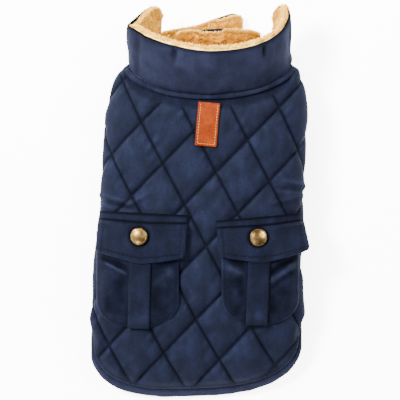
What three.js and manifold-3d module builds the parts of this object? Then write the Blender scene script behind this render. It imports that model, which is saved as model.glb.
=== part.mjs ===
// A quilted winter coat for a small dog, laid on its belly side with the back up.
// Millimetres, +Z up. +Y points to the neck, and the dog's left side is -X.
// The back panel is quilted flat, cut to its outline, and then wrapped over the body's sections.
// Every other piece lies on that same surface, or on the table under it.

import * as THREE from "three";
import { mergeVertices } from "three/addons/utils/BufferGeometryUtils.js";
import Module from "manifold-3d";

const wasm = await Module();
wasm.setup();

// Driving sizes

const GAP = 0.3; // between two pieces at a seam
const WALL = 3.4; // padded back panel at a stitch line
const SEAM_ROOM = { band: 0.4, chest: 1.1 }; // more where the seam curves
const CLOTH = 2; // velour face cloth, doubled
const FLEECE = 4; // the collar's pile lining
const LINING = 3.6; // the chest flaps' pile lining, pressed flat
const PUFF = 3.2; // rise of a quilted diamond over its stitch lines

const SNAP_ACROSS = 15;
const LABEL = { width: 19.5, length: 38, thick: 1.6, topX: 7.9, topY: 84.4, lean: 3.3 };

// The neck opening is an ellipse in plan, cut by a plane that faces forwards and up.
const NECK = { x: 8.5, y: 122, halfWide: 69.5, halfLong: 30.5, z: 27.5, slope: 0.82 };

// Sections of the worn form: widest is the height of the section's widest point,
// square is the exponent of its upper curve, 2 for an ellipse.
const BODY = columns("y centre half crown widest square", [
  [122.0, 8.5, 69.0, 43.5, 27.5, 2.0],
  [110.0, 7.9, 77.0, 48.0, 26.5, 2.0],
  [100.0, 7.2, 80.8, 50.5, 26.0, 2.05],
  [89.8, 6.4, 83.4, 52.6, 25.5, 2.15],
  [76.7, 5.4, 85.4, 54.0, 25.0, 2.3],
  [62.8, 4.4, 85.8, 54.8, 25.0, 2.4],
  [41.9, 3.2, 86.0, 55.0, 25.0, 2.5],
  [0.0, 1.2, 86.6, 53.0, 25.0, 2.5],
  [-48.8, -1.3, 88.0, 50.0, 24.0, 2.5],
  [-90.7, -2.8, 90.4, 45.0, 21.0, 2.5],
  [-125.6, -3.4, 92.8, 36.0, 14.0, 2.4],
  [-139.5, -3.4, 92.2, 30.0, 11.0, 2.4],
  [-153.5, -3.4, 84.8, 21.5, 8.0, 2.4],
  [-160.4, -3.4, 77.6, 16.5, 6.5, 2.4],
  [-167.4, -3.4, 66.6, 10.5, 5.5, 2.4],
  [-172.7, -3.4, 52.5, 6.2, 5.0, 2.4],
  [-177.0, -3.4, 30.0, 5.2, 5.0, 2.4],
]);

const ROLL = 14; // plan width of the turn from the side to the underside
const FOLD = 26; // plan reach of the back panel under the body
const CHEST_SEAM = 45; // the fold's edge from the centre line, along the chest

// The hem is a rounded line, a little skewed, that turns under at the sides.
const HEM = { half: 89.8, startY: -124, depth: 41.2, across: 3.0, along: 2, skew: 0.045 };
const HEM_TURN = 54; // length over which the hem's edge passes under the side
const BINDING = { wide: 7.8, thick: 6.4, endY: -69.5 };

const QUILT = { across: 47.2, along: 64, turn: 9.4, lean: 4.7, s: 11.3, y: 24, flare: 0.045, drift: -2.5 };
const QUILT_STEPS = [0, 0.12, 0.36, 0.64, 0.88];

// Where the panel's front tab ends, under the collar's ends
const TAB_Y = 136;

const COLLAR_LIFT = 2.5; // seam allowance between the neck's plane and the collar
const COLLAR_BOW = 2.2; // outward bow of its band, halfway up
// Stations round the collar, from its left end over the back to its right end.
// rise and up are its reach towards +Y and +Z there, foot and brim stand it out from the neck.
const COLLAR = columns("angle rise up foot brim", [
  [-139, 19, 15, -3, -6],
  [-134, 26, 20, -3, -6],
  [-126, 29, 24, -3, -5.5],
  [-112, 27, 25.5, -2.5, -2.5],
  [-100, 26, 26, -1.5, 0.5],
  [-92, 27, 26, -0.5, 2.4],
  [-84, 29.5, 26, 0, 1.5],
  [-70, 33, 26, 0.5, 0],
  [-40, 36, 26, 2, 0.3],
  [0, 34.5, 26, 3, 0.7],
  [40, 34, 26, 0.5, 0],
  [70, 35, 26, -2, -0.5],
  [90, 36.5, 26, -2.5, 0],
  [104, 37, 26, -3, 0.5],
  [112, 35, 25, -3.5, 0],
  [118, 28, 21, -4, -2],
  [122, 20, 16, -4, -3],
]);
const NECKBAND = { wide: 5.4, thick: 1.8, share: 0.975 };

// Chest flaps, from the seam at the side to the free end.
const LEFT_FLAP = columns("frontX frontY backX backY lift", [
  [-36.2, 146.5, -36.2, 62, 0],
  [-20, 150.5, -20, 70, 0],
  [-4, 153.5, -4, 80, 0],
  [19, 161.5, 16, 92, 0],
  [28.5, 164, 28, 99, 0],
  [34.5, 162, 33.5, 104, 0],
  [37, 157.5, 35.5, 110, 0],
]);
const RIGHT_FLAP = columns("frontX frontY backX backY lift", [
  [53.2, 145.5, 53.2, 62, 0],
  [49.5, 148, 50, 64, 1.2],
  [44, 149.2, 45, 67, 5.2],
  [38.6, 149.7, 39, 70, 6.9],
  [22, 150.4, 22, 78, 6.9],
  [-4, 149.2, -4, 86, 6.9],
  [-16, 148.2, -16, 91, 6.9],
  [-20.5, 145.5, -20.5, 96, 6.9],
]);
const LEFT_BAND = columns("frontX frontY backX backY lift", [
  [-64, -4, -66, -68, 0],
  [-30, -6, -30, -66, 0],
  [12, -8, 12, -64, 0],
  [17.5, -12, 17.5, -60, 0],
]);
const RIGHT_BAND = columns("frontX frontY backX backY lift", [
  [63, -4, 60.5, -68, 0],
  [48, -5, 48, -67, 0],
  [36, -5.5, 36, -66.5, 1.6],
  [24, -6, 24, -66, 3.6],
  [-14, -8, -14, -64, 3.6],
  [-19.5, -12, -19.5, -60, 3.6],
]);
const BAND_THICK = 3;

// Pockets: corners of the flap, then the bag below it, the strap and the snap.
const POCKETS = {
  left: {
    topOuter: [-87.6, -9.4], topInner: [-10.6, -13.1],
    lowOuter: [-91.6, -44.4], lowInner: [-13.0, -52.6], point: -55.8,
    bagOuter: -90.6, bagInner: -16.0, bagTop: -27, bagLow: -110,
    strapTop: -52.6, strapLow: -53.9, strapEnd: -111.4,
    snap: [-52.8, -31.4], cornerLift: 1.5,
  },
  right: {
    topOuter: [88.8, -11.4], topInner: [13.8, -18.0],
    lowOuter: [95.6, -43.2], lowInner: [15.6, -49.2], point: -54.2,
    bagOuter: 86.2, bagInner: 15.0, bagTop: -31, bagLow: -107.4,
    strapTop: 51.2, strapLow: 48.8, strapEnd: -108.6,
    snap: [51.0, -33.0], cornerLift: 7.5,
  },
};
const STRAP = { wide: 19, thick: 1.6 };
const BAG = { thick: 1.8, bulge: 2.6, corner: 15 };
const FLAP = { thick: 2, band: 0.19 };

// Small tools

// A table from a line of column names and its rows.
function columns(names, rows) {
  const keys = names.split(" ");
  return rows.map((row) => Object.fromEntries(keys.map((key, i) => [key, row[i]])));
}

// A smooth curve through one column, at position t along the ordered positions xs.
function smoothAt(xs, ys, t) {
  const rising = xs[xs.length - 1] > xs[0] ? 1 : -1;
  let i = 0;
  while (i < xs.length - 2 && rising * (t - xs[i + 1]) > 0) i += 1;
  const span = xs[i + 1] - xs[i];
  const slope = (k) => {
    const a = Math.max(k - 1, 0);
    const b = Math.min(k + 1, xs.length - 1);
    return (ys[b] - ys[a]) / (xs[b] - xs[a]);
  };
  const u = THREE.MathUtils.clamp((t - xs[i]) / span, 0, 1);
  const [u2, u3] = [u * u, u * u * u];
  return (
    ys[i] * (2 * u3 - 3 * u2 + 1) + ys[i + 1] * (3 * u2 - 2 * u3) +
    span * (slope(i) * (u3 - 2 * u2 + u) + slope(i + 1) * (u3 - u2))
  );
}

function smoothColumn(table, key, position, t) {
  return smoothAt(table.map((row) => row[position]), table.map((row) => row[key]), t);
}

// A soft step from 0 at a to 1 at b, where b may be the smaller one.
function ease(a, b, t) {
  const u = THREE.MathUtils.clamp((t - a) / (b - a), 0, 1);
  return u * u * (3 - 2 * u);
}

const mix = (a, b, t) => a + (b - a) * t;

// A closed wall from a grid of outer points and a grid of inner points.
// Seen from outside, u runs to the right and v runs down.
function wall(stepsU, stepsV, outer, inner) {
  const side = (f) =>
    stepsV.map((v) => stepsU.map((u) => f(u, v)));
  const [top, under] = [side(outer), side(inner)];
  const [nu, nv] = [stepsU.length - 1, stepsV.length - 1];
  const faces = [];
  const quad = (a, b, c, d) => faces.push(a, b, c, a, c, d);
  for (let j = 0; j < nv; j += 1) {
    for (let i = 0; i < nu; i += 1) {
      quad(top[j + 1][i], top[j + 1][i + 1], top[j][i + 1], top[j][i]);
      quad(under[j][i], under[j][i + 1], under[j + 1][i + 1], under[j + 1][i]);
    }
  }
  for (let i = 0; i < nu; i += 1) {
    quad(top[0][i], top[0][i + 1], under[0][i + 1], under[0][i]);
    quad(under[nv][i], under[nv][i + 1], top[nv][i + 1], top[nv][i]);
  }
  for (let j = 0; j < nv; j += 1) {
    quad(top[j + 1][0], top[j][0], under[j][0], under[j + 1][0]);
    quad(under[j + 1][nu], under[j][nu], top[j][nu], top[j + 1][nu]);
  }
  const g = new THREE.BufferGeometry().setFromPoints(faces);
  return mergeVertices(g, 1e-4);
}

const steps = (n, from = 0, to = 1) =>
  Array.from({ length: n + 1 }, (_, i) => mix(from, to, i / n));

// three.js geometry to a manifold-3d solid, and back
function toSolid(geometry) {
  const g = geometry.clone();
  g.deleteAttribute("normal");
  g.deleteAttribute("uv");
  const merged = mergeVertices(g, 1e-4);
  return new wasm.Manifold(new wasm.Mesh({
    numProp: 3,
    vertProperties: new Float32Array(merged.attributes.position.array),
    triVerts: new Uint32Array(merged.index.array),
  }));
}

function toGeometry(solid) {
  const mesh = solid.getMesh();
  const g = new THREE.BufferGeometry();
  g.setAttribute("position", new THREE.BufferAttribute(new Float32Array(mesh.vertProperties), 3));
  g.setIndex(new THREE.BufferAttribute(new Uint32Array(mesh.triVerts), 1));
  return g;
}

// The body's surface

const neckZ = (y) => NECK.z - NECK.slope * (y - NECK.y);

const sections = new Map();

// The section at y, with its upper curve measured from the crown to the widest point.
function section(y) {
  const key = Math.round(y * 200);
  if (sections.has(key)) return sections.get(key);
  const read = (name) => smoothColumn(BODY, name, "y", Math.min(y, NECK.y));
  const cut = { centre: read("centre"), half: read("half"), crown: read("crown") };
  cut.widest = read("widest");
  cut.square = read("square");
  if (y > NECK.y) {
    const past = Math.min((y - NECK.y) / NECK.halfLong, 0.985);
    cut.half = NECK.halfWide * Math.sqrt(1 - past * past);
    cut.widest = Math.max(neckZ(y), 4);
  }
  cut.roll = Math.min(ROLL, cut.widest * 0.62);
  const arc = [{ s: 0, x: 0, z: cut.crown }];
  const turns = 28;
  for (let i = 1; i <= turns; i += 1) {
    const a = (i / turns) * (Math.PI / 2);
    const x = cut.half * Math.pow(Math.sin(a), 2 / cut.square);
    const z = cut.widest + (cut.crown - cut.widest) * Math.pow(Math.cos(a), 2 / cut.square);
    const last = arc[i - 1];
    arc.push({ s: last.s + Math.hypot(x - last.x, z - last.z), x, z });
  }
  cut.arc = arc;
  cut.upper = y > NECK.y ? section(NECK.y).upper : arc[turns].s;
  cut.lower = (Math.PI / 2) * Math.hypot(cut.roll, cut.widest) / Math.SQRT2;
  sections.set(key, cut);
  return cut;
}

// The point at distance s round the section at y, from the crown, signed to the side.
function onSection(s, y) {
  const cut = section(y);
  const side = Math.sign(s) || 1;
  const reach = Math.abs(s);
  let [x, z] = [0, 0];
  if (reach < cut.upper) {
    const scaled = (reach / cut.upper) * cut.arc[cut.arc.length - 1].s;
    let i = 0;
    while (i < cut.arc.length - 2 && cut.arc[i + 1].s < scaled) i += 1;
    const [a, b] = [cut.arc[i], cut.arc[i + 1]];
    const t = (scaled - a.s) / (b.s - a.s);
    [x, z] = [mix(a.x, b.x, t), mix(a.z, b.z, t)];
  } else if (reach < cut.upper + cut.lower) {
    const a = ((reach - cut.upper) / cut.lower) * (Math.PI / 2);
    x = cut.half - cut.roll * (1 - Math.cos(a));
    z = cut.widest * (1 - Math.sin(a));
  } else {
    x = cut.half - cut.roll - (reach - cut.upper - cut.lower);
  }
  return skewed(cut.centre + side * x, y, z);
}

// The hem end is skewed: the right side lies a little further forward.
function skewed(x, y, z) {
  const share = ease(-40, -165, y);
  return new THREE.Vector3(x, y + HEM.skew * share * (x - section(y).centre), z);
}

// A point at height n over the surface, where s and y are the flat panel's own directions.
function wrapped(s, y, n) {
  const d = 0.6;
  const along = onSection(s, y + d).sub(onSection(s, y - d));
  const across = onSection(s + d, y).sub(onSection(s - d, y));
  const normal = across.cross(along).normalize();
  return onSection(s, y).addScaledVector(normal, n);
}

// Distance round the section to plan offset x from the centre line, on the upper curve.
function distanceTo(x, y) {
  const cut = section(y);
  const reach = Math.min(Math.abs(x), cut.half);
  let i = 0;
  while (i < cut.arc.length - 2 && cut.arc[i + 1].x < reach) i += 1;
  const [a, b] = [cut.arc[i], cut.arc[i + 1]];
  return Math.sign(x) * mix(a.s, b.s, (reach - a.x) / (b.x - a.x));
}

// The point at height n over the back that is seen at x, y from straight above.
function onBack(x, y, n) {
  let [baseX, baseY] = [x, y];
  let p = new THREE.Vector3();
  for (let i = 0; i < 8; i += 1) {
    p = wrapped(distanceTo(baseX - section(baseY).centre, baseY), baseY, n);
    baseX += 0.8 * (x - p.x);
    baseY += 0.8 * (y - p.y);
  }
  return p;
}

// Back panel

// How far the back panel reaches in under the body at y.
const foldReach = (y) => mix(FOLD, section(y).half - CHEST_SEAM, ease(30, 115, y));

// The fold's inner edge at y, on the side given by its sign.
const seamX = (side, y) => section(y).centre + side * (section(y).half - foldReach(y));

// Distance from the crown to the panel's edge at y: the hem behind, the fold before it.
function panelEdge(y) {
  const cut = section(y);
  const fold = cut.upper + cut.lower + Math.max(foldReach(y) - cut.roll, 0);
  if (y > HEM.startY + HEM_TURN) return fold;
  const hemX = (v) => {
    const past = THREE.MathUtils.clamp((HEM.startY - v) / HEM.depth, 0, 1);
    return HEM.half * Math.pow(1 - Math.pow(past, HEM.along), 1 / HEM.across);
  };
  if (y <= HEM.startY) return distanceTo(hemX(y), y);
  const begin = distanceTo(hemX(HEM.startY), HEM.startY);
  return mix(begin, fold, ease(HEM.startY, HEM.startY + HEM_TURN, y));
}

// Where the neck's plane meets the surface at distance s from the crown.
function neckEdge(s) {
  let [low, high] = [60, NECK.y];
  for (let i = 0; i < 30; i += 1) {
    const y = (low + high) / 2;
    const p = onSection(s, y);
    if (p.z < neckZ(p.y)) low = y;
    else high = y;
  }
  return low;
}

function panelOutline() {
  const shoulder = section(NECK.y).upper;
  const right = [];
  const rear = HEM.startY - HEM.depth;
  for (const t of steps(9)) {
    const y = HEM.startY - HEM.depth * Math.cos((t * Math.PI) / 2);
    right.push([t === 0 ? 0 : panelEdge(y), y]);
  }
  for (const y of steps(10, HEM.startY + 5, HEM.startY + HEM_TURN)) right.push([panelEdge(y), y]);
  for (const y of steps(18, HEM.startY + HEM_TURN + 10, TAB_Y)) right.push([panelEdge(y), y]);
  for (const y of steps(2, TAB_Y, NECK.y)) right.push([shoulder, y]);
  for (const t of steps(12, 0.985, 0)) right.push([t * shoulder, neckEdge(t * shoulder)]);
  right[0] = [0, rear];
  const left = right.slice(1, -1).reverse().map(([s, y]) => [-s, y]);
  return [...right, ...left];
}

const outlineOfPanel = panelOutline();
const hemLine = outlineOfPanel.filter(([, y]) => y < BINDING.endY);

// Height of the quilting over the stitch lines at a place inside its diamond.
function puff(fa, fb) {
  const dome = (f) => Math.pow(1 - Math.pow(Math.abs(2 * f - 1), 2.6), 0.62);
  return PUFF * dome(fa) * dome(fb);
}

// Quilting lies flat on the underside and along the neck seam.
function puffShare(s, y) {
  const cut = section(y);
  const side = 1 - ease(cut.upper - 4, cut.upper + 0.7 * cut.lower, Math.abs(s));
  const shoulder = Math.min(Math.abs(s), section(NECK.y).upper);
  const neck = ease(8, 18, neckEdge(shoulder) - y + Math.max(Math.abs(s) - shoulder, 0));
  return side * neck * ease(0, 9, hemDistance(s, y));
}

// Distance in the flat panel from its hem line.
function hemDistance(s, y) {
  if (y > HEM.startY + HEM_TURN) return 99;
  return Math.min(...hemLine.map((p) => Math.hypot(p[0] - s, p[1] - y)));
}

// A flat slab of quilting, larger than the panel, with its vertices on the stitch lines.
function quiltedSlab() {
  const rad = THREE.MathUtils.degToRad;
  const row = [QUILT.across * Math.cos(rad(QUILT.turn)), -QUILT.across * Math.sin(rad(QUILT.turn))];
  const line = [-QUILT.along * Math.sin(rad(QUILT.lean)), -QUILT.along * Math.cos(rad(QUILT.lean))];
  const a = [(row[0] + line[0]) / 2, (row[1] + line[1]) / 2];
  const b = [(row[0] - line[0]) / 2, (row[1] - line[1]) / 2];
  const places = [];
  for (let i = -6; i < 6; i += 1) for (const f of QUILT_STEPS) places.push(i + f);
  places.push(6);
  const point = (i, j, top) => {
    const y = QUILT.y + i * a[1] + j * b[1];
    const rear = ease(-40, -150, y);
    const s = (QUILT.s + i * a[0] + j * b[0]) * (1 + QUILT.flare * rear) + QUILT.drift * rear;
    const rise = puff(i - Math.floor(i), j - Math.floor(j)) * puffShare(s, clampedY(y));
    return new THREE.Vector3(s, y, top ? WALL + rise : 0);
  };
  return wall(places, [...places].reverse(), (i, j) => point(i, j, true), (i, j) => point(i, j, false));
}

const clampedY = (y) => THREE.MathUtils.clamp(y, -176, 150);

function backPanel() {
  const outline = new THREE.Shape(outlineOfPanel.map(([s, y]) => new THREE.Vector2(s, y)));
  const cutter = new THREE.ExtrudeGeometry(outline, { depth: 4 * WALL, bevelEnabled: false });
  cutter.translate(0, 0, -WALL);
  const g = toGeometry(toSolid(quiltedSlab()).intersect(toSolid(cutter)));
  const place = g.attributes.position;
  for (let i = 0; i < place.count; i += 1) {
    const p = wrapped(place.getX(i), place.getY(i), place.getZ(i) - WALL);
    place.setXYZ(i, p.x, p.y, p.z);
  }
  return g;
}

// Hem binding: a rolled band that follows the panel's edge and turns under at both sides.

function hemBinding() {
  const line = hemLine.map(([s, y]) => new THREE.Vector2(s, y));
  const turn = line.findIndex((p) => p.x < 0);
  const path = [...line.slice(turn), ...line.slice(0, turn)];
  const spots = path.map((p, i) => {
    const ahead = path[Math.min(i + 1, path.length - 1)].clone().sub(path[Math.max(i - 1, 0)]).normalize();
    return { p, out: new THREE.Vector2(ahead.y, -ahead.x) };
  });
  const sides = 8;
  const ring = steps(sides).slice(0, -1).map((t) => {
    const a = 2 * Math.PI * t;
    const soft = (v) => Math.sign(v) * Math.pow(Math.abs(v), 0.75);
    return [soft(Math.cos(a)) * (BINDING.wide / 2), soft(Math.sin(a)) * (BINDING.thick / 2)];
  });
  const rings = spots.map(({ p, out }) => ring.map(([w, n]) => {
    const away = 2 * GAP + BINDING.wide / 2 + w;
    const y = p.y + out.y * away;
    const point = wrapped(p.x + out.x * away, y, n - BINDING.thick / 2 - 0.2);
    point.z = Math.max(point.z, 0);
    return point;
  }));
  return tube(rings);
}

// A closed tube through rings of points that turn anticlockwise, seen along the path.
function tube(rings) {
  const faces = [];
  const n = rings[0].length;
  for (let i = 0; i < rings.length - 1; i += 1) {
    for (let k = 0; k < n; k += 1) {
      const [a, b] = [rings[i][k], rings[i][(k + 1) % n]];
      const [c, d] = [rings[i + 1][(k + 1) % n], rings[i + 1][k]];
      faces.push(a, c, b, a, d, c);
    }
  }
  const [first, last] = [rings[0], rings[rings.length - 1]];
  for (let k = 1; k < n - 1; k += 1) {
    faces.push(first[0], first[k], first[k + 1]);
    faces.push(last[0], last[k + 1], last[k]);
  }
  return mergeVertices(new THREE.BufferGeometry().setFromPoints(faces), 1e-4);
}

// Collar and neckband

// The neck ring at an angle in degrees from the middle of the back, to the right.
function neckRing(angle) {
  const a = THREE.MathUtils.degToRad(angle);
  const x = NECK.x + NECK.halfWide * Math.sin(a);
  const y = NECK.y - NECK.halfLong * Math.cos(a);
  return new THREE.Vector3(x, y, neckZ(y));
}

const NECK_NORMAL = new THREE.Vector3(0, NECK.slope, 1).normalize();

// A point of the collar: angle round it, share h of its height, and n out from its face.
function onCollar(angle, h, n) {
  const read = (key) => smoothColumn(COLLAR, key, "angle", angle);
  const rise = new THREE.Vector3(0, read("rise"), read("up"));
  const along = neckRing(angle + 1).sub(neckRing(angle - 1)).normalize();
  const out = along.clone().cross(rise).normalize();
  const off = mix(read("foot"), read("brim"), h) + COLLAR_BOW * Math.sin(Math.PI * h);
  return neckRing(angle)
    .addScaledVector(NECK_NORMAL, COLLAR_LIFT)
    .addScaledVector(rise, h)
    .addScaledVector(out, off + n);
}

const COLLAR_ENDS = [COLLAR[0].angle, COLLAR[COLLAR.length - 1].angle];
const COLLAR_ANGLES = [
  ...[0, 2, 6, 12].map((d) => COLLAR_ENDS[0] + d),
  ...steps(26, COLLAR_ENDS[0] + 22, COLLAR_ENDS[1] - 20),
  ...[12, 6, 2, 0].map((d) => COLLAR_ENDS[1] - d),
];
const COLLAR_HEIGHTS = [0, 0.12, 0.3, 0.5, 0.7, 0.88, 1];

function collarShell() {
  return wall(COLLAR_ANGLES, [...COLLAR_HEIGHTS].reverse(),
    (a, h) => onCollar(a, h, 0),
    (a, h) => onCollar(a, h, -CLOTH));
}

function collarLining() {
  return wall(COLLAR_ANGLES, [...COLLAR_HEIGHTS].reverse(),
    (a, h) => onCollar(a, h, -CLOTH - 2 * GAP),
    (a, h) => onCollar(a, h, -CLOTH - GAP - FLEECE * (0.55 + 0.45 * Math.sin(Math.PI * Math.min(h + 0.1, 0.9)))));
}

function neckband() {
  const reach = section(NECK.y).upper * NECKBAND.share;
  const place = (t, v, n) => {
    const s = t * reach;
    const edge = new THREE.Vector2(s, neckEdge(s));
    const ahead = new THREE.Vector2(s + 1, neckEdge(s + 1)).sub(new THREE.Vector2(s - 1, neckEdge(s - 1)));
    const out = new THREE.Vector2(ahead.y, -ahead.x).normalize();
    const p = edge.addScaledVector(out, 0.5 + v * NECKBAND.wide);
    return wrapped(p.x, p.y, n);
  };
  const crown = (v) => Math.sin(Math.PI * v) * 0.6;
  const clear = (t) => 3 * GAP + 0.6 * t ** 6;
  return wall(steps(34, -1, 1), steps(3),
    (t, v) => place(t, v, clear(t) + NECKBAND.thick + crown(v)),
    (t, v) => place(t, v, clear(t)));
}

// Flaps and bands on the table

// A flat piece between its front and back edges, from the side seam to the free end.
function strip(table, thick, base, inset, room) {
  const last = table.length - 1;
  const read = (key, u) => smoothAt(table.map((_, i) => i), table.map((row) => row[key]), u);
  const mirrored = table[last].frontX < table[0].frontX;
  const side = mirrored ? 1 : -1;
  const place = (u, v, z) => {
    const share = mix(inset, 1 - inset, v);
    const y = mix(read("frontY", u), read("backY", u), share);
    const free = mix(read("frontX", u), read("backX", u), share);
    const seam = seamX(side, Math.min(y, TAB_Y)) - side * room;
    const lift = Math.max(read("lift", u), 0);
    return new THREE.Vector3(mix(seam, free, Math.min(u, 1)), y, base + lift + z);
  };
  const us = steps(last * 3, 0, last);
  if (mirrored) us.reverse();
  return wall(us, [0, 0.12, 0.35, 0.65, 1],
    (u, v) => place(u, v, thick),
    (u, v) => place(u, v, 0));
}

// Pockets

function pocket(spec) {
  const side = Math.sign(spec.bagOuter);
  const rest = PUFF + 2 * GAP;
  const across = (u) => (side < 0 ? u : 1 - u);
  const bagX = (u) => mix(spec.bagOuter, spec.bagInner, across(u));
  const bulge = (u, v) => BAG.bulge * Math.pow(Math.sin(Math.PI * u), 0.7) * Math.pow(Math.sin(Math.PI * Math.min(v + 0.12, 1)), 0.6);
  const bagShare = (x) => across(THREE.MathUtils.clamp((x - spec.bagOuter) / (spec.bagInner - spec.bagOuter), 0, 1));
  const bagDown = (y) => THREE.MathUtils.clamp((y - spec.bagTop) / (spec.bagLow - spec.bagTop), 0, 1);
  const bagTopAt = (x, y) => rest + BAG.thick + bulge(bagShare(x), bagDown(y));
  const middle = (spec.bagOuter + spec.bagInner) / 2;
  const halfBag = Math.abs(spec.bagOuter - spec.bagInner) / 2;

  const bagPoint = (u, v, raised) => {
    const y = mix(spec.bagTop, spec.bagLow, v);
    const past = Math.max(0, 1 - (y - spec.bagLow) / BAG.corner);
    const half = halfBag - BAG.corner * (1 - Math.sqrt(1 - Math.min(past, 0.999) ** 2));
    const x = middle + (bagX(u) - middle) * (half / halfBag);
    const soft = bulge(u, v);
    return onBack(x, y, rest + (raised ? BAG.thick + soft : soft * 0.8));
  };
  const bag = wall(steps(12), [0, 0.15, 0.35, 0.55, 0.72, 0.84, 0.92, 0.97, 1],
    (u, v) => bagPoint(u, v, true),
    (u, v) => bagPoint(u, v, false));

  const strapPoint = (u, v, n) => {
    const y = mix(spec.point + 9, spec.strapEnd, v);
    const x = mix(spec.strapTop, spec.strapLow, v) + (u - 0.5) * STRAP.wide;
    return onBack(x, y, bagTopAt(x, y) + 2 * GAP + n);
  };
  const strap = wall(steps(4), steps(6),
    (u, v) => strapPoint(u, v, STRAP.thick),
    (u, v) => strapPoint(u, v, 0));

  const flapPoint = (u, v, n) => {
    const t = across(u);
    const [topX, topY] = [0, 1].map((k) => mix(spec.topOuter[k], spec.topInner[k], t));
    const [lowX, lowY] = [0, 1].map((k) => mix(spec.lowOuter[k], spec.lowInner[k], t));
    const ends = Math.abs(2 * t - 1);
    const dip = spec.point - (spec.lowOuter[1] + spec.lowInner[1]) / 2;
    const x = mix(topX, lowX, v) - Math.sign(t - 0.5) * (v > 0.9 ? 1.6 * ease(0.9, 1, v) * ease(0.8, 1, ends) : 0);
    const y = mix(topY, lowY + dip * (1 - Math.pow(ends, 1.5)), v);
    const over = bagTopAt(x, y) + STRAP.thick + 3 * GAP;
    const lift = spec.cornerLift * ease(0.55, 1, 1 - t) * ease(0.2, 1, v);
    const low = mix(rest, over, ease(FLAP.band, FLAP.band + 0.12, v));
    return onBack(x, y, low + lift + n);
  };
  const flap = wall(steps(14), [0, 0.1, FLAP.band, 0.25, 0.31, 0.45, 0.6, 0.75, 0.88, 0.95, 1],
    (u, v) => flapPoint(u, v, FLAP.thick),
    (u, v) => flapPoint(u, v, 0));

  const [sx, sy] = spec.snap;
  const topAt = (dx, dy) => onBack(sx + dx, sy + dy, bagTopAt(sx, sy) + STRAP.thick + 3 * GAP + FLAP.thick);
  const normal = topAt(1, 0).sub(topAt(-1, 0)).cross(topAt(0, 1).sub(topAt(0, -1))).normalize();
  return { bag, strap, flap, snap: snapCap(topAt(0, 0), normal) };
}

// A press stud's domed cap, seated on the flap.
function snapCap(foot, normal) {
  const r = SNAP_ACROSS / 2;
  const profile = [
    [0, 0], [r - 0.9, 0], [r - 0.2, 0.35], [r, 0.9], [r - 0.35, 1.6], [r - 1.2, 2.0],
    [r - 2.4, 2.35], [r * 0.45, 2.85], [r * 0.2, 3.05], [0, 3.1],
  ].map(([x, y]) => new THREE.Vector2(x, y));
  const g = new THREE.LatheGeometry(profile, 28);
  g.deleteAttribute("normal");
  g.deleteAttribute("uv");
  const turn = new THREE.Quaternion().setFromUnitVectors(new THREE.Vector3(0, 1, 0), normal);
  const centre = foot.clone().addScaledVector(normal, GAP + 0.4);
  const merged = mergeVertices(g, 1e-3);
  return merged.applyMatrix4(new THREE.Matrix4().compose(centre, turn, new THREE.Vector3(1, 1, 1)));
}

// Label under the neckband

function label() {
  const place = (u, v, n) => {
    const x = LABEL.topX - LABEL.lean * v + (u - 0.5) * LABEL.width;
    const y = LABEL.topY - LABEL.length * v - (LABEL.lean / LABEL.length) * (u - 0.5) * LABEL.width;
    return onBack(x, y, mix(GAP + PUFF * 0.6, PUFF + GAP, ease(0, 0.3, v)) + n);
  };
  return wall(steps(4), steps(6),
    (u, v) => place(u, v, LABEL.thick),
    (u, v) => place(u, v, 0));
}

// The coat

const paint = (color, roughness, metalness = 0) =>
  new THREE.MeshStandardMaterial({ color, roughness, metalness });
const MATERIALS = {
  velour: paint(0x2a3654, 0.85),
  fleece: paint(0xe2b06c, 0.95),
  leather: paint(0xc4713a, 0.5),
  brass: paint(0xd2ab62, 0.3, 1),
};

const coat = new THREE.Group();

function add(name, geometry, material) {
  const mesh = new THREE.Mesh(geometry, MATERIALS[material]);
  mesh.name = name;
  coat.add(mesh);
}

add("back_panel", backPanel(), "velour");
add("hem_binding", hemBinding(), "velour");
add("neckband", neckband(), "velour");
add("collar_shell", collarShell(), "velour");
add("collar_lining", collarLining(), "fleece");
add("chest_flap_left", strip(LEFT_FLAP, CLOTH, 0, 0, SEAM_ROOM.chest), "velour");
add("chest_flap_left_lining", strip(LEFT_FLAP, LINING, CLOTH + 2 * GAP, 0.01, SEAM_ROOM.chest), "fleece");
add("chest_flap_right", strip(RIGHT_FLAP, CLOTH, 0, 0, SEAM_ROOM.chest), "velour");
add("chest_flap_right_lining", strip(RIGHT_FLAP, LINING, CLOTH + 2 * GAP, 0.01, SEAM_ROOM.chest), "fleece");
add("belly_band_left", strip(LEFT_BAND, BAND_THICK, 0, 0, SEAM_ROOM.band), "velour");
add("belly_band_right", strip(RIGHT_BAND, BAND_THICK, 0, 0, SEAM_ROOM.band), "velour");
add("label", label(), "leather");
for (const [side, spec] of Object.entries(POCKETS)) {
  const made = pocket(spec);
  add(`pocket_${side}_bag`, made.bag, "velour");
  add(`pocket_${side}_strap`, made.strap, "velour");
  add(`pocket_${side}_flap`, made.flap, "velour");
  add(`pocket_${side}_snap`, made.snap, "brass");
}

// The origin is the middle of the coat's box, on the table.
const box = new THREE.Box3().setFromObject(coat);
const middle = box.getCenter(new THREE.Vector3());
for (const mesh of coat.children) mesh.geometry.translate(-middle.x, -middle.y, -box.min.z);

export default coat;
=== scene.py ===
# Looks for the quilted dog coat: fine cloth, stitches, pile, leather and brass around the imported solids.
# Sizes are in millimetres in the coat's own layout, as in the part's source, and become metres in build().

import math

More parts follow.
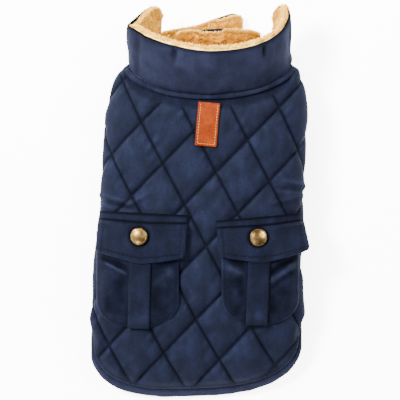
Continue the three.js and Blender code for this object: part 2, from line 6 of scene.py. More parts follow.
import bpy
import numpy as np
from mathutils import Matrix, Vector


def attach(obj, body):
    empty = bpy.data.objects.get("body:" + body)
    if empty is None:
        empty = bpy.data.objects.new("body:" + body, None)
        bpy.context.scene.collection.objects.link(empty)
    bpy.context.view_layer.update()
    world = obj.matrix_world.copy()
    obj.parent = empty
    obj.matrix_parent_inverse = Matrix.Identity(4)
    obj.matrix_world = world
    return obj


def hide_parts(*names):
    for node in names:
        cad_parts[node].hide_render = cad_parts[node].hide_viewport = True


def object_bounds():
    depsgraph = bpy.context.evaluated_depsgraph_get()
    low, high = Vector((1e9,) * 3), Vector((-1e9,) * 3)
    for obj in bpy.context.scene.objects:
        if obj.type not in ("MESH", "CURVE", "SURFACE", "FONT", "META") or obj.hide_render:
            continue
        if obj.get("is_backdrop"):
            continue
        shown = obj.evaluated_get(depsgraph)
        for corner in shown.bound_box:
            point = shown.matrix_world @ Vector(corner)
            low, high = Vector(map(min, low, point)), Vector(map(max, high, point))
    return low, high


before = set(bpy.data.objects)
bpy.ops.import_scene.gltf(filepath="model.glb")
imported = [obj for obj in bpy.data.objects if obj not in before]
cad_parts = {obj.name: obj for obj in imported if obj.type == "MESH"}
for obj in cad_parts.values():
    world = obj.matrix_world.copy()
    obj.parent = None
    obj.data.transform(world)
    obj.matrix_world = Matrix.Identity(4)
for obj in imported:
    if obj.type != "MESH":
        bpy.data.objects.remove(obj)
cad_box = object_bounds()

# Driving sizes, the same as the solids'

ORIGIN = np.array([0.766, -1.368, 0.0])  # where the layout's zero lies from the middle of the box
MM = 0.001
GAP = 0.3
WALL = 3.4
CLOTH = 2.0
FLEECE = 4.0
LINING = 3.6
PUFF = 3.2
SNAP_ACROSS = 15.0
LABEL = {"width": 19.0, "length": 38.0, "thick": 1.6, "top": (7.9, 84.4), "lean": 3.3}
LABEL_EDGE = {"corner": 1.3, "border": 2.1, "bow": 0.25}
NECK = {"x": 8.5, "y": 122.0, "half_wide": 69.5, "half_long": 30.5, "z": 27.5, "slope": 0.82}
BODY_KEYS = "y centre half crown widest square"
BODY = [
    [122.0, 8.5, 69.0, 43.5, 27.5, 2.0],
    [110.0, 7.9, 77.0, 48.0, 26.5, 2.0],
    [100.0, 7.2, 80.8, 50.5, 26.0, 2.05],
    [89.8, 6.4, 83.4, 52.6, 25.5, 2.15],
    [76.7, 5.4, 85.4, 54.0, 25.0, 2.3],
    [62.8, 4.4, 85.8, 54.8, 25.0, 2.4],
    [41.9, 3.2, 86.0, 55.0, 25.0, 2.5],
    [0.0, 1.2, 86.6, 53.0, 25.0, 2.5],
    [-48.8, -1.3, 88.0, 50.0, 24.0, 2.5],
    [-90.7, -2.8, 90.4, 45.0, 21.0, 2.5],
    [-125.6, -3.4, 92.8, 36.0, 14.0, 2.4],
    [-139.5, -3.4, 92.2, 30.0, 11.0, 2.4],
    [-153.5, -3.4, 84.8, 21.5, 8.0, 2.4],
    [-160.4, -3.4, 77.6, 16.5, 6.5, 2.4],
    [-167.4, -3.4, 66.6, 10.5, 5.5, 2.4],
    [-172.7, -3.4, 52.5, 6.2, 5.0, 2.4],
    [-177.0, -3.4, 30.0, 5.2, 5.0, 2.4],
]
ROLL = 14.0
FOLD = 26.0
CHEST_SEAM = 45.0
HEM = {"half": 89.8, "start_y": -124.0, "depth": 41.2, "across": 3.0, "skew": 0.045}
HEM_TURN = 54.0
BINDING = {"wide": 8.0, "thick": 6.4, "lip": 3.2, "end_y": -69.5, "stitch_at": 1.8}
QUILT = {"across": 47.2, "along": 64.0, "turn": 9.4, "lean": 4.7, "s": 11.3, "y": 24.0}
QUILT_REAR = {"flare": 0.045, "drift": -2.5}
TAB_Y = 136.0
COLLAR_LIFT = 2.5
COLLAR_BOW = 2.2
COLLAR_KEYS = "angle rise up foot brim"
COLLAR = [
    [-139, 19, 15, -3, -6],
    [-134, 26, 20, -3, -6],
    [-126, 29, 24, -3, -5.5],
    [-112, 27, 25.5, -2.5, -2.5],
    [-100, 26, 26, -1.5, 0.5],
    [-92, 27, 26, -0.5, 2.4],
    [-84, 29.5, 26, 0, 1.5],
    [-70, 33, 26, 0.5, 0],
    [-40, 36, 26, 2, 0.3],
    [0, 34.5, 26, 3, 0.7],
    [40, 34, 26, 0.5, 0],
    [70, 35, 26, -2, -0.5],
    [90, 36.5, 26, -2.5, 0],
    [104, 37, 26, -3, 0.5],
    [112, 35, 25, -3.5, 0],
    [118, 28, 21, -4, -2],
    [122, 20, 16, -4, -3],
]
COLLAR_DENTS = [  # angle, share of the height, half width in degrees, half height as a share, rise
    [-26, 0.84, 2.0, 0.12, -2.4],
    [-20, 0.8, 4, 0.16, 1.0],
    [42, 0.82, 2.0, 0.13, -2.4],
    [48, 0.76, 4, 0.2, 1.2],
    [-62, 0.5, 5, 0.5, -1.3],
    [12, 0.7, 9, 0.3, -0.8],
    [78, 0.45, 6, 0.5, -0.9],
    [-104, 0.5, 7, 0.5, -0.7],
]
NECKBAND = {"share": 0.975, "tuck": 6.0, "reach": 4.9, "rise": 1.9, "thick": 1.4}
STRIP_KEYS = "front_x front_y back_x back_y lift"
LEFT_FLAP = [
    [-36.2, 146.5, -36.2, 62, 0],
    [-20, 150.5, -20, 70, 0],
    [-4, 153.5, -4, 80, 0],
    [19, 161.5, 16, 92, 0],
    [28.5, 164, 28, 99, 0],
    [34.5, 162, 33.5, 104, 0],
    [37, 157.5, 35.5, 110, 0],
]
RIGHT_FLAP = [
    [53.2, 145.5, 53.2, 62, 0],
    [49.5, 148, 50, 64, 1.2],
    [44, 149.2, 45, 67, 5.2],
    [38.6, 149.7, 39, 70, 6.9],
    [22, 150.4, 22, 78, 6.9],
    [-4, 149.2, -4, 86, 6.9],
    [-16, 148.2, -16, 91, 6.9],
    [-20.5, 145.5, -20.5, 96, 6.9],
]
LEFT_BAND = [
    [-64, -4, -66, -68, 0],
    [-30, -6, -30, -66, 0],
    [12, -8, 12, -64, 0],
    [17.5, -12, 17.5, -60, 0],
]
RIGHT_BAND = [
    [63, -4, 60.5, -68, 0],
    [48, -5, 48, -67, 0],
    [36, -5.5, 36, -66.5, 1.6],
    [24, -6, 24, -66, 3.6],
    [-14, -8, -14, -64, 3.6],
    [-19.5, -12, -19.5, -60, 3.6],
]
BAND_THICK = 3.0
SEAM_ROOM = {"band": 0.4, "chest": 1.1}
POCKETS = {
    "left": {
        "top_outer": (-87.6, -9.4), "top_inner": (-10.6, -13.1),
        "low_outer": (-91.6, -44.4), "low_inner": (-13.0, -50.2), "point": -55.3,
        "bag_outer": -90.6, "bag_inner": -18.6, "bag_top": -27.0, "bag_low": -110.6,
        "strap_top": -51.9, "strap_low": -53.7, "strap_end": -111.6,
        "snap": (-52.8, -31.4), "corner_lift": 1.5,
    },
    "right": {
        "top_outer": (88.8, -11.4), "top_inner": (13.8, -18.0),
        "low_outer": (95.6, -43.2), "low_inner": (15.6, -49.2), "point": -54.2,
        "bag_outer": 86.2, "bag_inner": 18.6, "bag_top": -31.0, "bag_low": -107.8,
        "strap_top": 51.2, "strap_low": 48.8, "strap_end": -108.8,
        "snap": (50.0, -32.2), "corner_lift": 7.5,
    },
}
STRAP = {"wide": 19.0, "thick": 1.6}
BAG = {"thick": 1.8, "bulge": 2.6, "corner": 24.0, "round": 2.2}
FLAP = {"thick": 2.0, "band": 0.19, "seam_in": 0.066, "seam_low": 0.89}

# Folds in the pocket bags: both ends, as x0, y0, x1 and y1 from the strap's middle at the flap's point,
# then half width, and rise or, where it's negative, depth

# The bags' colour takes painted light on each fold's rise and painted shade in each depth.
FOLD_FADE = 3.5  # how fast a fold fades past its ends
BAG_FOLDS = {
    "left": [
        [-27, -0.5, -10, -9.5, 1.3, 1.5],
        [-30, 4, -10, -4, 2.2, -1.1],
        [-16, -17, -14, -32, 5.5, -0.75],
        [-33, -12, -31, -45, 3.0, 0.35],
        [15, -17, 28, -5, 3.6, 0.6],
        [10, -4, 32, 2, 2.2, -0.9],
        [13, -30, 14, -37, 4.0, -0.7],
        [-28, -44, -12, -48, 3.0, 0.3],
    ],
    "right": [
        [-28, -4, -11, -10.5, 3.0, 0.75],
        [-26, 1.5, -10, -2.5, 2.0, -0.9],
        [-15, -16, -13, -26, 4.0, -0.7],
        [34, -1, 12, -15.5, 2.3, 1.2],
        [31, 4, 11, -9, 2.2, -1.1],
        [28, -9, 11, -23, 2.6, -0.6],
        [12, -32, 13, -40, 4.0, -0.8],
        [31, -15, 31, -42, 3.0, 0.3],
    ],
}

# Fine detail, which only this script has

PANEL_STEP = 1.25  # spacing of the back panel's fine grid
LINING_STEP = 3.0
LINING_SHARE = 0.972  # how far the lining reaches towards the panel's edges, from its middle
LINING_MIDDLE = -20.0
OUTER_CLOTH = 1.5  # face cloth of the quilting, over its padding
PULL_FADE = 5.0
PULLS = [  # creases beside the pockets' seams, on the flat panel, with the same columns as the folds
    [-92, 4, -64, -3, 2.4, 1.2],
    [-92, -1, -66, -7, 2.0, -1.2],
    [-62, -4, -50, 3, 2.2, 0.8],
    [74, 15, 96, 12, 2.4, 1.1],
    [72, 9, 95, 7, 2.0, -1.1],
    [66, -2, 88, 3, 2.2, 0.9],
]
BARE_EDGE = 0.036  # share of a chest flap where its fleece stops short of the velour
LIGHT_FROM = (-0.45, 0.9)  # where the photograph's light comes from, across and along the coat
STITCH = {"pitch": 3.4, "length": 2.3, "radius": 0.26, "pocket_radius": 0.24}
LABEL_STITCH = {"pitch": 2.4, "length": 1.7, "radius": 0.2}
PILE = {"collar_tufts": 18500, "flap_tufts": 8200, "collar_long": 2.2, "flap_long": 1.9, "collar_grain": 46}
BARE = {"left": (16, 31), "right": (1, 19)}  # between which x a chest flap's edge is bare of fleece
SHADE_UNDER_COLLAR = {"left": 0.6, "right": 1.0}  # how strong the painted shade under the collar gets on a chest flap's fleece
GRIDS = {  # steps across and along each piece's grid; fleece and velour are the flaps' and bands'
    "collar": (260, 46),
    "collar_fleece": (256, 46),
    "neckband": (260, 16),
    "fleece": (110, 76),
    "velour": (60, 30),
    "bag": (76, 92),
    "strap": (24, 70),
    "flap": (96, 56),
    "label": (60, 110),
}
PHOTO = {"across": 400, "mm_per_pixel": 0.872, "lens_away": 3.6, "sensor": 36.0}
CAMERA = {"x": -0.001, "y": 0.0014, "true_size_at": 0.03}
LIGHTS = [  # name, place, size, power, colour
    ("key", (-1.5, 0.9, 2.2), 0.8, 420, (1, 0.985, 0.97)),
    ("neck", (0.02, 0.45, 0.3), 0.15, 4.6, (1, 0.96, 0.88)),
    ("fill", (1.3, 0.4, 1.4), 1.2, 44, (0.95, 0.97, 1)),
    ("low", (-0.7, -1.6, 1.2), 1.0, 48, (1, 1, 1)),
]
WORLD = {"colour": (0.94, 0.96, 1, 1), "strength": 0.95}
FLOOR_GLOW = 6.0


# Small tools


def table(keys, rows):
    return {key: np.array([row[i] for row in rows], float) for i, key in enumerate(keys.split())}


def mix(a, b, t):
    return a + (b - a) * t


def ease(a, b, t):
    u = clamped((t - a) / (b - a))
    return u * u * (3 - 2 * u)


def clamped(x):
    """A share, held between 0 and 1."""
    return np.clip(x, 0, 1)


def bell(x, wide):
    return np.exp(-(x / wide) ** 2)


def fade(x, over):
    return np.exp(-x / over)


def smooth_at(xs, ys, t):
    """A smooth curve through one column, at positions t."""
    xs, ys = np.asarray(xs, float), np.asarray(ys, float)
    if xs[-1] < xs[0]:
        xs, ys = xs[::-1], ys[::-1]
    t = np.asarray(t, float)
    slopes = np.empty_like(ys)
    slopes[1:-1] = (ys[2:] - ys[:-2]) / (xs[2:] - xs[:-2])
    slopes[0] = (ys[1] - ys[0]) / (xs[1] - xs[0])
    slopes[-1] = (ys[-1] - ys[-2]) / (xs[-1] - xs[-2])
    i = np.clip(np.searchsorted(xs, t, side="right") - 1, 0, len(xs) - 2)
    span = xs[i + 1] - xs[i]
    u = clamped((t - xs[i]) / span)
    u2, u3 = u * u, u * u * u
    return (
        ys[i] * (2 * u3 - 3 * u2 + 1) + ys[i + 1] * (3 * u2 - 2 * u3)
        + span * (slopes[i] * (u3 - 2 * u2 + u) + slopes[i + 1] * (u3 - u2))
    )


def creases(rows, x, y, fade_over):
    """Rise of straight soft creases, each of which fades over a distance past its ends."""
    out = 0
    for x0, y0, x1, y1, wide, rise in rows:
        long = math.hypot(x1 - x0, y1 - y0)
        ax, ay = (x1 - x0) / long, (y1 - y0) / long
        along = (x - x0) * ax + (y - y0) * ay
        across = (y - y0) * ax - (x - x0) * ay
        past = np.maximum(np.abs(along - long / 2) - long / 2, 0)
        out = out + rise * bell(across, wide) * bell(past, fade_over)
    return out


def noise(u, v, seed):
    """Smooth value noise from -1 to 1, one bump per unit of u and v."""
    grid = np.random.default_rng(seed).random((128, 128)) * 2 - 1
    u, v = np.broadcast_arrays(np.asarray(u, float), np.asarray(v, float))
    iu, iv = np.floor(u).astype(int), np.floor(v).astype(int)
    fu, fv = u - iu, v - iv
    fu, fv = fu * fu * (3 - 2 * fu), fv * fv * (3 - 2 * fv)
    pick = lambda a, b: grid[(iu + a) % 128, (iv + b) % 128]
    return mix(mix(pick(0, 0), pick(1, 0), fu), mix(pick(0, 1), pick(1, 1), fu), fv)


def unit(v):
    return v / np.maximum(np.linalg.norm(v, axis=-1, keepdims=True), 1e-9)


# The body's surface, sampled once and then read between the samples

SAMPLE_Y = np.arange(-182.0, 153.0, 1.0)
SAMPLE_R = np.arange(0.0, 262.0, 0.5)
body = table(BODY_KEYS, BODY)


def neck_z(y):
    return NECK["z"] - NECK["slope"] * (y - NECK["y"])


def read_body(key, y):
    return smooth_at(body["y"], body[key], np.minimum(y, NECK["y"]))


def half_at(y):
    past = np.clip((y - NECK["y"]) / NECK["half_long"], 0, 0.985)
    return np.where(y > NECK["y"], NECK["half_wide"] * np.sqrt(1 - past**2), read_body("half", y))


def widest_at(y):
    return np.where(y > NECK["y"], np.maximum(neck_z(y), 4), read_body("widest", y))


def arc_at(y):
    """The upper curve of one section: distance, offset and height."""
    a = np.linspace(0, math.pi / 2, 81)
    half, widest, crown = float(half_at(y)), float(widest_at(y)), float(read_body("crown", y))
    power = 2 / float(read_body("square", y))
    x = half * np.sin(a) ** power
    z = widest + (crown - widest) * clamped(np.cos(a)) ** power
    s = np.concatenate([[0], np.cumsum(np.hypot(np.diff(x), np.diff(z)))])
    return s, x, z


NECK_UPPER = arc_at(NECK["y"])[0][-1]


def sample_section(y):
    half, widest = float(half_at(y)), float(widest_at(y))
    roll = min(ROLL, widest * 0.62)
    s, x, z = arc_at(y)
    upper = NECK_UPPER if y > NECK["y"] else s[-1]
    lower = math.pi / 2 * math.hypot(roll, widest) / math.sqrt(2)
    scaled = SAMPLE_R / upper * s[-1]
    on_top = np.interp(scaled, s, x), np.interp(scaled, s, z)
    turn = clamped((SAMPLE_R - upper) / lower) * math.pi / 2
    side = half - roll * (1 - np.cos(turn)), widest * (1 - np.sin(turn))
    under = half - roll - (SAMPLE_R - upper - lower)
    xs = np.where(SAMPLE_R < upper, on_top[0], np.where(SAMPLE_R < upper + lower, side[0], under))
    zs = np.where(SAMPLE_R < upper, on_top[1], np.where(SAMPLE_R < upper + lower, side[1], 0))
    return xs, zs, upper, lower


_samples = [sample_section(y) for y in SAMPLE_Y]
GRID_X = np.array([p[0] for p in _samples])
GRID_Z = np.array([p[1] for p in _samples])
UPPER = np.array([p[2] for p in _samples])
LOWER = np.array([p[3] for p in _samples])


def upper_at(y):
    return np.interp(y, SAMPLE_Y, UPPER)


def lower_at(y):
    return np.interp(y, SAMPLE_Y, LOWER)


def surface(s, y):
    """The point at distance s round the section at y, from the crown, signed to the side."""
    s, y = np.broadcast_arrays(np.asarray(s, float), np.asarray(y, float))
    fy = np.clip(y - SAMPLE_Y[0], 0, len(SAMPLE_Y) - 1.001)
    fr = np.clip(np.abs(s) / 0.5, 0, len(SAMPLE_R) - 1.001)
    iy, ir = fy.astype(int), fr.astype(int)
    ty, tr = fy - iy, fr - ir

    def read(grid):
        low = mix(grid[iy, ir], grid[iy, ir + 1], tr)
        high = mix(grid[iy + 1, ir], grid[iy + 1, ir + 1], tr)
        return mix(low, high, ty)

    centre = read_body("centre", y)
    off = np.where(s < 0, -1, 1) * read(GRID_X)
    z = read(GRID_Z)
    share = ease(-40, -165, y)
    return np.stack([centre + off, y + HEM["skew"] * share * off, z], -1)


def normal_at(s, y, d=0.9):
    along = surface(s, y + d) - surface(s, y - d)
    across = surface(s + d, y) - surface(s - d, y)
    return unit(np.cross(across, along))


def wrapped(s, y, n):
    """A point at height n over the surface, where s and y are the flat panel's own directions."""
    return surface(s, y) + normal_at(s, y) * np.asarray(n, float)[..., None]


def on_back(x, y, n):
    """The point at height n over the back that is seen at x, y from straight above."""
    x, y, n = np.broadcast_arrays(*(np.asarray(v, float) for v in (x, y, n)))
    s, base_y = (x - read_body("centre", y)) * 1.02, y.copy()
    limit = upper_at(y) + 4
    for _ in range(40):
        p = wrapped(s, base_y, n)
        s = np.clip(s + 0.8 * (x - p[..., 0]), -limit, limit)
        base_y = base_y + 0.8 * (y - p[..., 1])
    return wrapped(s, base_y, n)


def fold_reach(y):
    return mix(FOLD, half_at(y) - CHEST_SEAM, ease(30, 115, y))


def seam_x(side, y):
    return read_body("centre", y) + side * (half_at(y) - fold_reach(y))


def panel_edge(y):
    """Distance from the crown to the panel's edge at y: the hem behind, the fold before it."""
    roll = np.minimum(ROLL, widest_at(y) * 0.62)
    fold = upper_at(y) + lower_at(y) + np.maximum(fold_reach(y) - roll, 0)
    hem = hem_edge(y)
    begin = hem_edge(HEM["start_y"])
    turn = mix(begin, fold, ease(HEM["start_y"], HEM["start_y"] + HEM_TURN, y))
    return np.where(y <= HEM["start_y"], hem, turn)


def hem_edge(y):
    """Distance round the section to the rounded hem line."""
    y = np.atleast_1d(np.asarray(y, float))
    past = clamped((HEM["start_y"] - y) / HEM["depth"])
    x = HEM["half"] * (1 - past**2) ** (1 / HEM["across"])
    out = [np.interp(xi, arc[1], arc[0]) for xi, arc in ((a, arc_at(b)) for a, b in zip(x, y))]
    return np.array(out)


def neck_edge(s):
    """Where the neck's plane meets the surface at distance s from the crown."""
    s = np.asarray(s, float)
    low, high = np.full(s.shape, 60.0), np.full(s.shape, NECK["y"])
    for _ in range(30):
        y = (low + high) / 2
        p = surface(s, y)
        inside = p[..., 2] < neck_z(p[..., 1])
        low, high = np.where(inside, y, low), np.where(inside, high, y)
    return low


# Meshes


def build(name, points, faces, material, slot, tone=None):
    """A mesh piece from points in millimetres, riding on the coat's one body."""
    mesh = bpy.data.meshes.new(name)
    mesh.from_pydata(((points - ORIGIN) * MM).tolist(), [], faces)
    mesh.validate()
    if tone is not None:
        mesh.attributes.new("tone", "FLOAT", "POINT").data.foreach_set("value", clamped(tone))
    mesh.polygons.foreach_set("use_smooth", [True] * len(mesh.polygons))
    mesh.materials.append(material)
    mesh.update()
    obj = bpy.data.objects.new(name, mesh)
    bpy.context.collection.objects.link(obj)
    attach(obj, "root")
    return obj


def sheet_faces(nv, nu, offset=0, flip=False):
    i, j = np.meshgrid(np.arange(nv - 1), np.arange(nu - 1), indexing="ij")
    a = (i * nu + j + offset).ravel()
    quad = np.stack([a, a + nu, a + nu + 1, a + 1], -1)
    return quad[:, ::-1] if flip else quad


def tube_faces(rings, sides):
    """Faces between rings of points, each ring joined to itself."""
    i, j = np.meshgrid(np.arange(rings - 1), np.arange(sides), indexing="ij")
    a, b = (i * sides + j).ravel(), (i * sides + (j + 1) % sides).ravel()
    return np.stack([a, a + sides, b + sides, b], -1)


def closed_shell(name, outer, inner, material, slot, tone=None):
    """A closed wall between two grids of points. From outside, u runs right and v runs down."""
    nv, nu = outer.shape[:2]
    points = np.concatenate([outer.reshape(-1, 3), inner.reshape(-1, 3)])
    faces = [sheet_faces(nv, nu), sheet_faces(nv, nu, nv * nu, True)]
    top = np.arange(nu)
    ring = np.concatenate([
        top, np.arange(1, nv) * nu + nu - 1, (nv - 1) * nu + top[-2::-1], np.arange(nv - 2, 0, -1) * nu,
    ])
    after = np.roll(ring, -1)
    faces.append(np.stack([ring, after, after + nv * nu, ring + nv * nu], -1))
    # Painted shade on the inner wall: its tone is 0.9 of the outer face's.
    both = None if tone is None else np.concatenate([tone.ravel(), tone.ravel() * 0.9])
    return build(name, points, np.concatenate(faces).tolist(), material, slot, both)


def fine(n, start=0.0, end=1.0):
    return np.linspace(start, end, n + 1)


def steps(name, across=(0.0, 1.0), along=(0.0, 1.0)):
    """The steps of one piece's grid, across it and along it."""
    return fine(GRIDS[name][0], *across), fine(GRIDS[name][1], *along)


def stitch_path(x, y, z, rise):
    """A line of points at height z + rise over the back, and the way out of the back at each."""
    p = on_back(x, y, z + rise)
    return p, unit(on_back(x, y, z + 4) - p)


def capsules(name, starts, ends, normals, radius, material, slot, sides=4):
    """Short rounded rods, such as stitches, from one row of points to another."""
    starts, ends, normals = (np.asarray(v, float) for v in (starts, ends, normals))
    along = ends - starts
    across = unit(np.cross(along, normals))
    up = unit(np.cross(across, along))
    rings = [(0.0, 0.4, -0.3), (0.3, 1.0, 0.2), (0.7, 1.0, 0.2), (1.0, 0.4, -0.3)]
    angles = np.linspace(0, 2 * math.pi, sides, endpoint=False)
    n = len(starts)
    points = np.empty((n, len(rings), sides, 3))
    for k, (t, wide, rise) in enumerate(rings):
        for j, a in enumerate(angles):
            points[:, k, j] = (
                starts + along * t + up * (rise * radius)
                + (across * math.cos(a) + up * math.sin(a)) * (radius * wide)
            )
    faces = []
    per = len(rings) * sides
    base = np.arange(n) * per
    for k in range(len(rings) - 1):
        for j in range(sides):
            a, b = k * sides + j, k * sides + (j + 1) % sides
            faces.append(np.stack([base + a, base + b, base + b + sides, base + a + sides], -1))
    body_faces = np.concatenate(faces).tolist()
    body_faces += [list(range(b + sides - 1, b - 1, -1)) for b in base]
    body_faces += [list(range(b + per - sides, b + per)) for b in base]
    return build(name, points.reshape(-1, 3), body_faces, material, slot)


def stitch_runs(paths, pitch=STITCH["pitch"], length=STITCH["length"]):
    """Cuts paths of points and normals into stitches."""
    starts, ends, normals = [], [], []
    for points, norms in paths:
        step = np.linalg.norm(np.diff(points, axis=0), axis=1)
        at = np.concatenate([[0], np.cumsum(step)])
        count = int(at[-1] // pitch)
        if count < 1:
            continue
        begin = (np.arange(count) + 0.15) * (at[-1] / count)
        read = lambda d, rows: np.stack([np.interp(d, at, rows[:, k]) for k in range(3)], -1)
        starts.append(read(begin, points))
        ends.append(read(np.minimum(begin + length, at[-1]), points))
        normals.append(read(begin + length / 2, norms))
    return np.concatenate(starts), np.concatenate(ends), unit(np.concatenate(normals))


# Materials


def node_tree(name):
    material = bpy.data.materials.new(name)
    material.use_nodes = True
    return material, material.node_tree, material.node_tree.nodes["Principled BSDF"]


def noise_node(tree, size_mm, detail=2.0, rough=0.5, stretch=None):
    place = tree.nodes.new("ShaderNodeTexCoord")
    node = tree.nodes.new("ShaderNodeTexNoise")
    node.inputs["Scale"].default_value = 1 / (size_mm * MM)
    node.inputs["Detail"].default_value = detail
    node.inputs["Roughness"].default_value = rough
    source = place.outputs["Object"]
    if stretch:
        mapping = tree.nodes.new("ShaderNodeMapping")
        mapping.inputs["Scale"].default_value = stretch
        tree.links.new(source, mapping.inputs["Vector"])
        source = mapping.outputs["Vector"]
    tree.links.new(source, node.inputs["Vector"])
    return node.outputs["Fac"]


def ramp_node(tree, factor, stops):
    node = tree.nodes.new("ShaderNodeValToRGB")
    ramp = node.color_ramp
    while len(ramp.elements) < len(stops):
        ramp.elements.new(0.5)
    for element, (at, colour) in zip(ramp.elements, stops):
        element.position = at
        element.color = (*colour, 1)
    tree.links.new(factor, node.inputs["Fac"])
    return node.outputs["Color"]


def maths(tree, kind, a, b=0.0):
    node = tree.nodes.new("ShaderNodeMath")
    node.operation = kind
    for value, socket in ((a, node.inputs[0]), (b, node.inputs[1])):
        if isinstance(value, (float, int)):
            socket.default_value = value
        else:
            tree.links.new(value, socket)
    return node.outputs[0]


def added(tree, a, share_a, b, share_b):
    return maths(tree, "ADD", maths(tree, "MULTIPLY", a, share_a), maths(tree, "MULTIPLY", b, share_b))


def coloured(tree, shader, factor, stops, tones):
    """Base colour from a ramp of hex colours, made darker or lighter by the mesh's tone, which holds random
    tone as well as painted light and shade.
    """
    attribute = tree.nodes.new("ShaderNodeAttribute")
    attribute.attribute_name = "tone"
    both = tree.nodes.new("ShaderNodeMix")
    both.data_type = "RGBA"
    both.blend_type = "MULTIPLY"
    both.inputs[0].default_value = 1.0
    plain_colour = ramp_node(tree, factor, [(at, linear(hex_colour)) for at, hex_colour in stops])
    tree.links.new(plain_colour, both.inputs[6])
    tree.links.new(ramp_node(tree, attribute.outputs["Fac"], tones), both.inputs[7])
    tree.links.new(both.outputs[2], shader.inputs["Base Color"])


def bump(tree, shader, heights, distance_mm, strength=1.0):
    node = tree.nodes.new("ShaderNodeBump")
    node.inputs["Distance"].default_value = distance_mm * MM
    node.inputs["Strength"].default_value = strength
    tree.links.new(heights, node.inputs["Height"])
    tree.links.new(node.outputs["Normal"], shader.inputs["Normal"])


def linear(hex_colour):
    values = [int(hex_colour[i:i + 2], 16) / 255 for i in (0, 2, 4)]
    return tuple(v / 12.92 if v < 0.04045 else ((v + 0.055) / 1.055) ** 2.4 for v in values)


def velour_material(name, dark, mid, light, sheen):
    material, tree, shader = node_tree(name)
    patches = noise_node(tree, 11, 3.0, 0.55, (1, 0.55, 1))
    pile = noise_node(tree, 0.8, 3.0, 0.75, (1, 0.5, 1))
    both = added(tree, patches, 0.5, pile, 0.5)
    coloured(tree, shader, both, [(0.32, dark), (0.5, mid), (0.7, light)], [
        (0.0, (0.02, 0.03, 0.06)), (0.5, (0.34, 0.37, 0.47)),
        (0.8, (0.85, 0.85, 0.9)), (1.0, (1.5, 1.5, 1.5)),
    ])
    shader.inputs["Roughness"].default_value = 0.85
    shader.inputs["Specular IOR Level"].default_value = 0.03
    shader.inputs["Sheen Weight"].default_value = sheen
    shader.inputs["Sheen Roughness"].default_value = 0.34
    shader.inputs["Sheen Tint"].default_value = (*linear("8494dc"), 1)
    fine_pile = noise_node(tree, 0.7, 2.0, 0.6)
    brushing_and_painted_reflection = noise_node(tree, 3.0, 3.0, 0.6, (1, 0.45, 1))
    bump(tree, shader, added(tree, fine_pile, 0.5, brushing_and_painted_reflection, 1.0), 0.4, 0.8)
    return material


def fleece_material(name, dark, mid, light):
    material, tree, shader = node_tree(name)
    curls = noise_node(tree, 1.3, 3.0, 0.65)
    patches = noise_node(tree, 6, 2.0, 0.5)
    both = added(tree, curls, 0.7, patches, 0.3)
    coloured(tree, shader, both, [(0.3, dark), (0.48, mid), (0.66, light)], [
        (0.0, (0.18, 0.09, 0.02)), (0.5, (0.5, 0.335, 0.1)), (1.0, (1, 1, 1)),
    ])
    shader.inputs["Roughness"].default_value = 0.9
    shader.inputs["Specular IOR Level"].default_value = 0.03
    shader.inputs["Sheen Weight"].default_value = 0.05
    shader.inputs["Sheen Roughness"].default_value = 0.5
    shader.inputs["Sheen Tint"].default_value = (*linear("ffdc98"), 1)
    bump(tree, shader, curls, 0.8, 0.8)
    return material


def leather_material():
    material, tree, shader = node_tree("leather")
    grain = noise_node(tree, 1.1, 4.0, 0.65)
    patches = noise_node(tree, 7, 2.0, 0.5)
    both = added(tree, grain, 0.45, patches, 0.55)
    coloured(tree, shader, both, [(0.32, "451200"), (0.5, "551c00"), (0.7, "672900")], [
        (0.0, (0.3, 0.24, 0.2)), (0.5, (0.8, 0.78, 0.76)), (1.0, (1, 1, 1)),
    ])
    shader.inputs["Roughness"].default_value = 0.55
    shader.inputs["Specular IOR Level"].default_value = 0.06
    bump(tree, shader, grain, 0.12, 0.6)
    return material


def brass_material():
    material, tree, shader = node_tree("brass")
    wear = noise_node(tree, 2.5, 3.0, 0.6)
    coloured(tree, shader, wear, [(0.3, "654e29"), (0.55, "8b7246"), (0.8, "d4be8a")], [
        (0.0, (0.08, 0.06, 0.04)), (0.5, (0.5, 0.46, 0.42)), (1.0, (1.2, 1.15, 1.1)),
    ])
    shader.inputs["Metallic"].default_value = 1.0
    rough = ramp_node(tree, wear, [(0.3, (0.34, 0.34, 0.34)), (0.7, (0.22, 0.22, 0.22))])
    tree.links.new(rough, shader.inputs["Roughness"])
    bump(tree, shader, noise_node(tree, 0.8, 2.0, 0.5), 0.03, 0.4)
    return material


def thread_material(name, hex_colour):
    material, tree, shader = node_tree(name)
    twist = noise_node(tree, 0.35, 1.0, 0.5)
    base = linear(hex_colour)
    colour = ramp_node(tree, twist, [(0.3, tuple(c * 0.6 for c in base)), (0.7, base)])
    tree.links.new(colour, shader.inputs["Base Color"])
    shader.inputs["Roughness"].default_value = 0.85
    shader.inputs["Specular IOR Level"].default_value = 0.1
    return material


VELOUR = velour_material("velour", "070a12", "0c0f1a", "131728", 0.06)
SMOOTH_VELOUR = velour_material("velour_smooth", "0a0c15", "10121e", "161928", 0.07)
FLEECE_PILE = fleece_material("fleece", "f0a31c", "fdcd50", "ffea8c")
BODY_LINING = fleece_material("fleece_inside", "c98232", "e5a54c", "f0c070")
LEATHER = leather_material()
BRASS = brass_material()
NAVY_THREAD = thread_material("thread_navy", "070a12")
TAN_THREAD = thread_material("thread_tan", "c98a50")


# Quilting


def lattice():
    turn, lean = math.radians(QUILT["turn"]), math.radians(QUILT["lean"])
    row = np.array([QUILT["across"] * math.cos(turn), -QUILT["across"] * math.sin(turn)])
    line = np.array([-QUILT["along"] * math.sin(lean), -QUILT["along"] * math.cos(lean)])
    return (row + line) / 2, (row - line) / 2


LATTICE_A, LATTICE_B = lattice()
CELL = abs(LATTICE_A[0] * LATTICE_B[1] - LATTICE_A[1] * LATTICE_B[0])


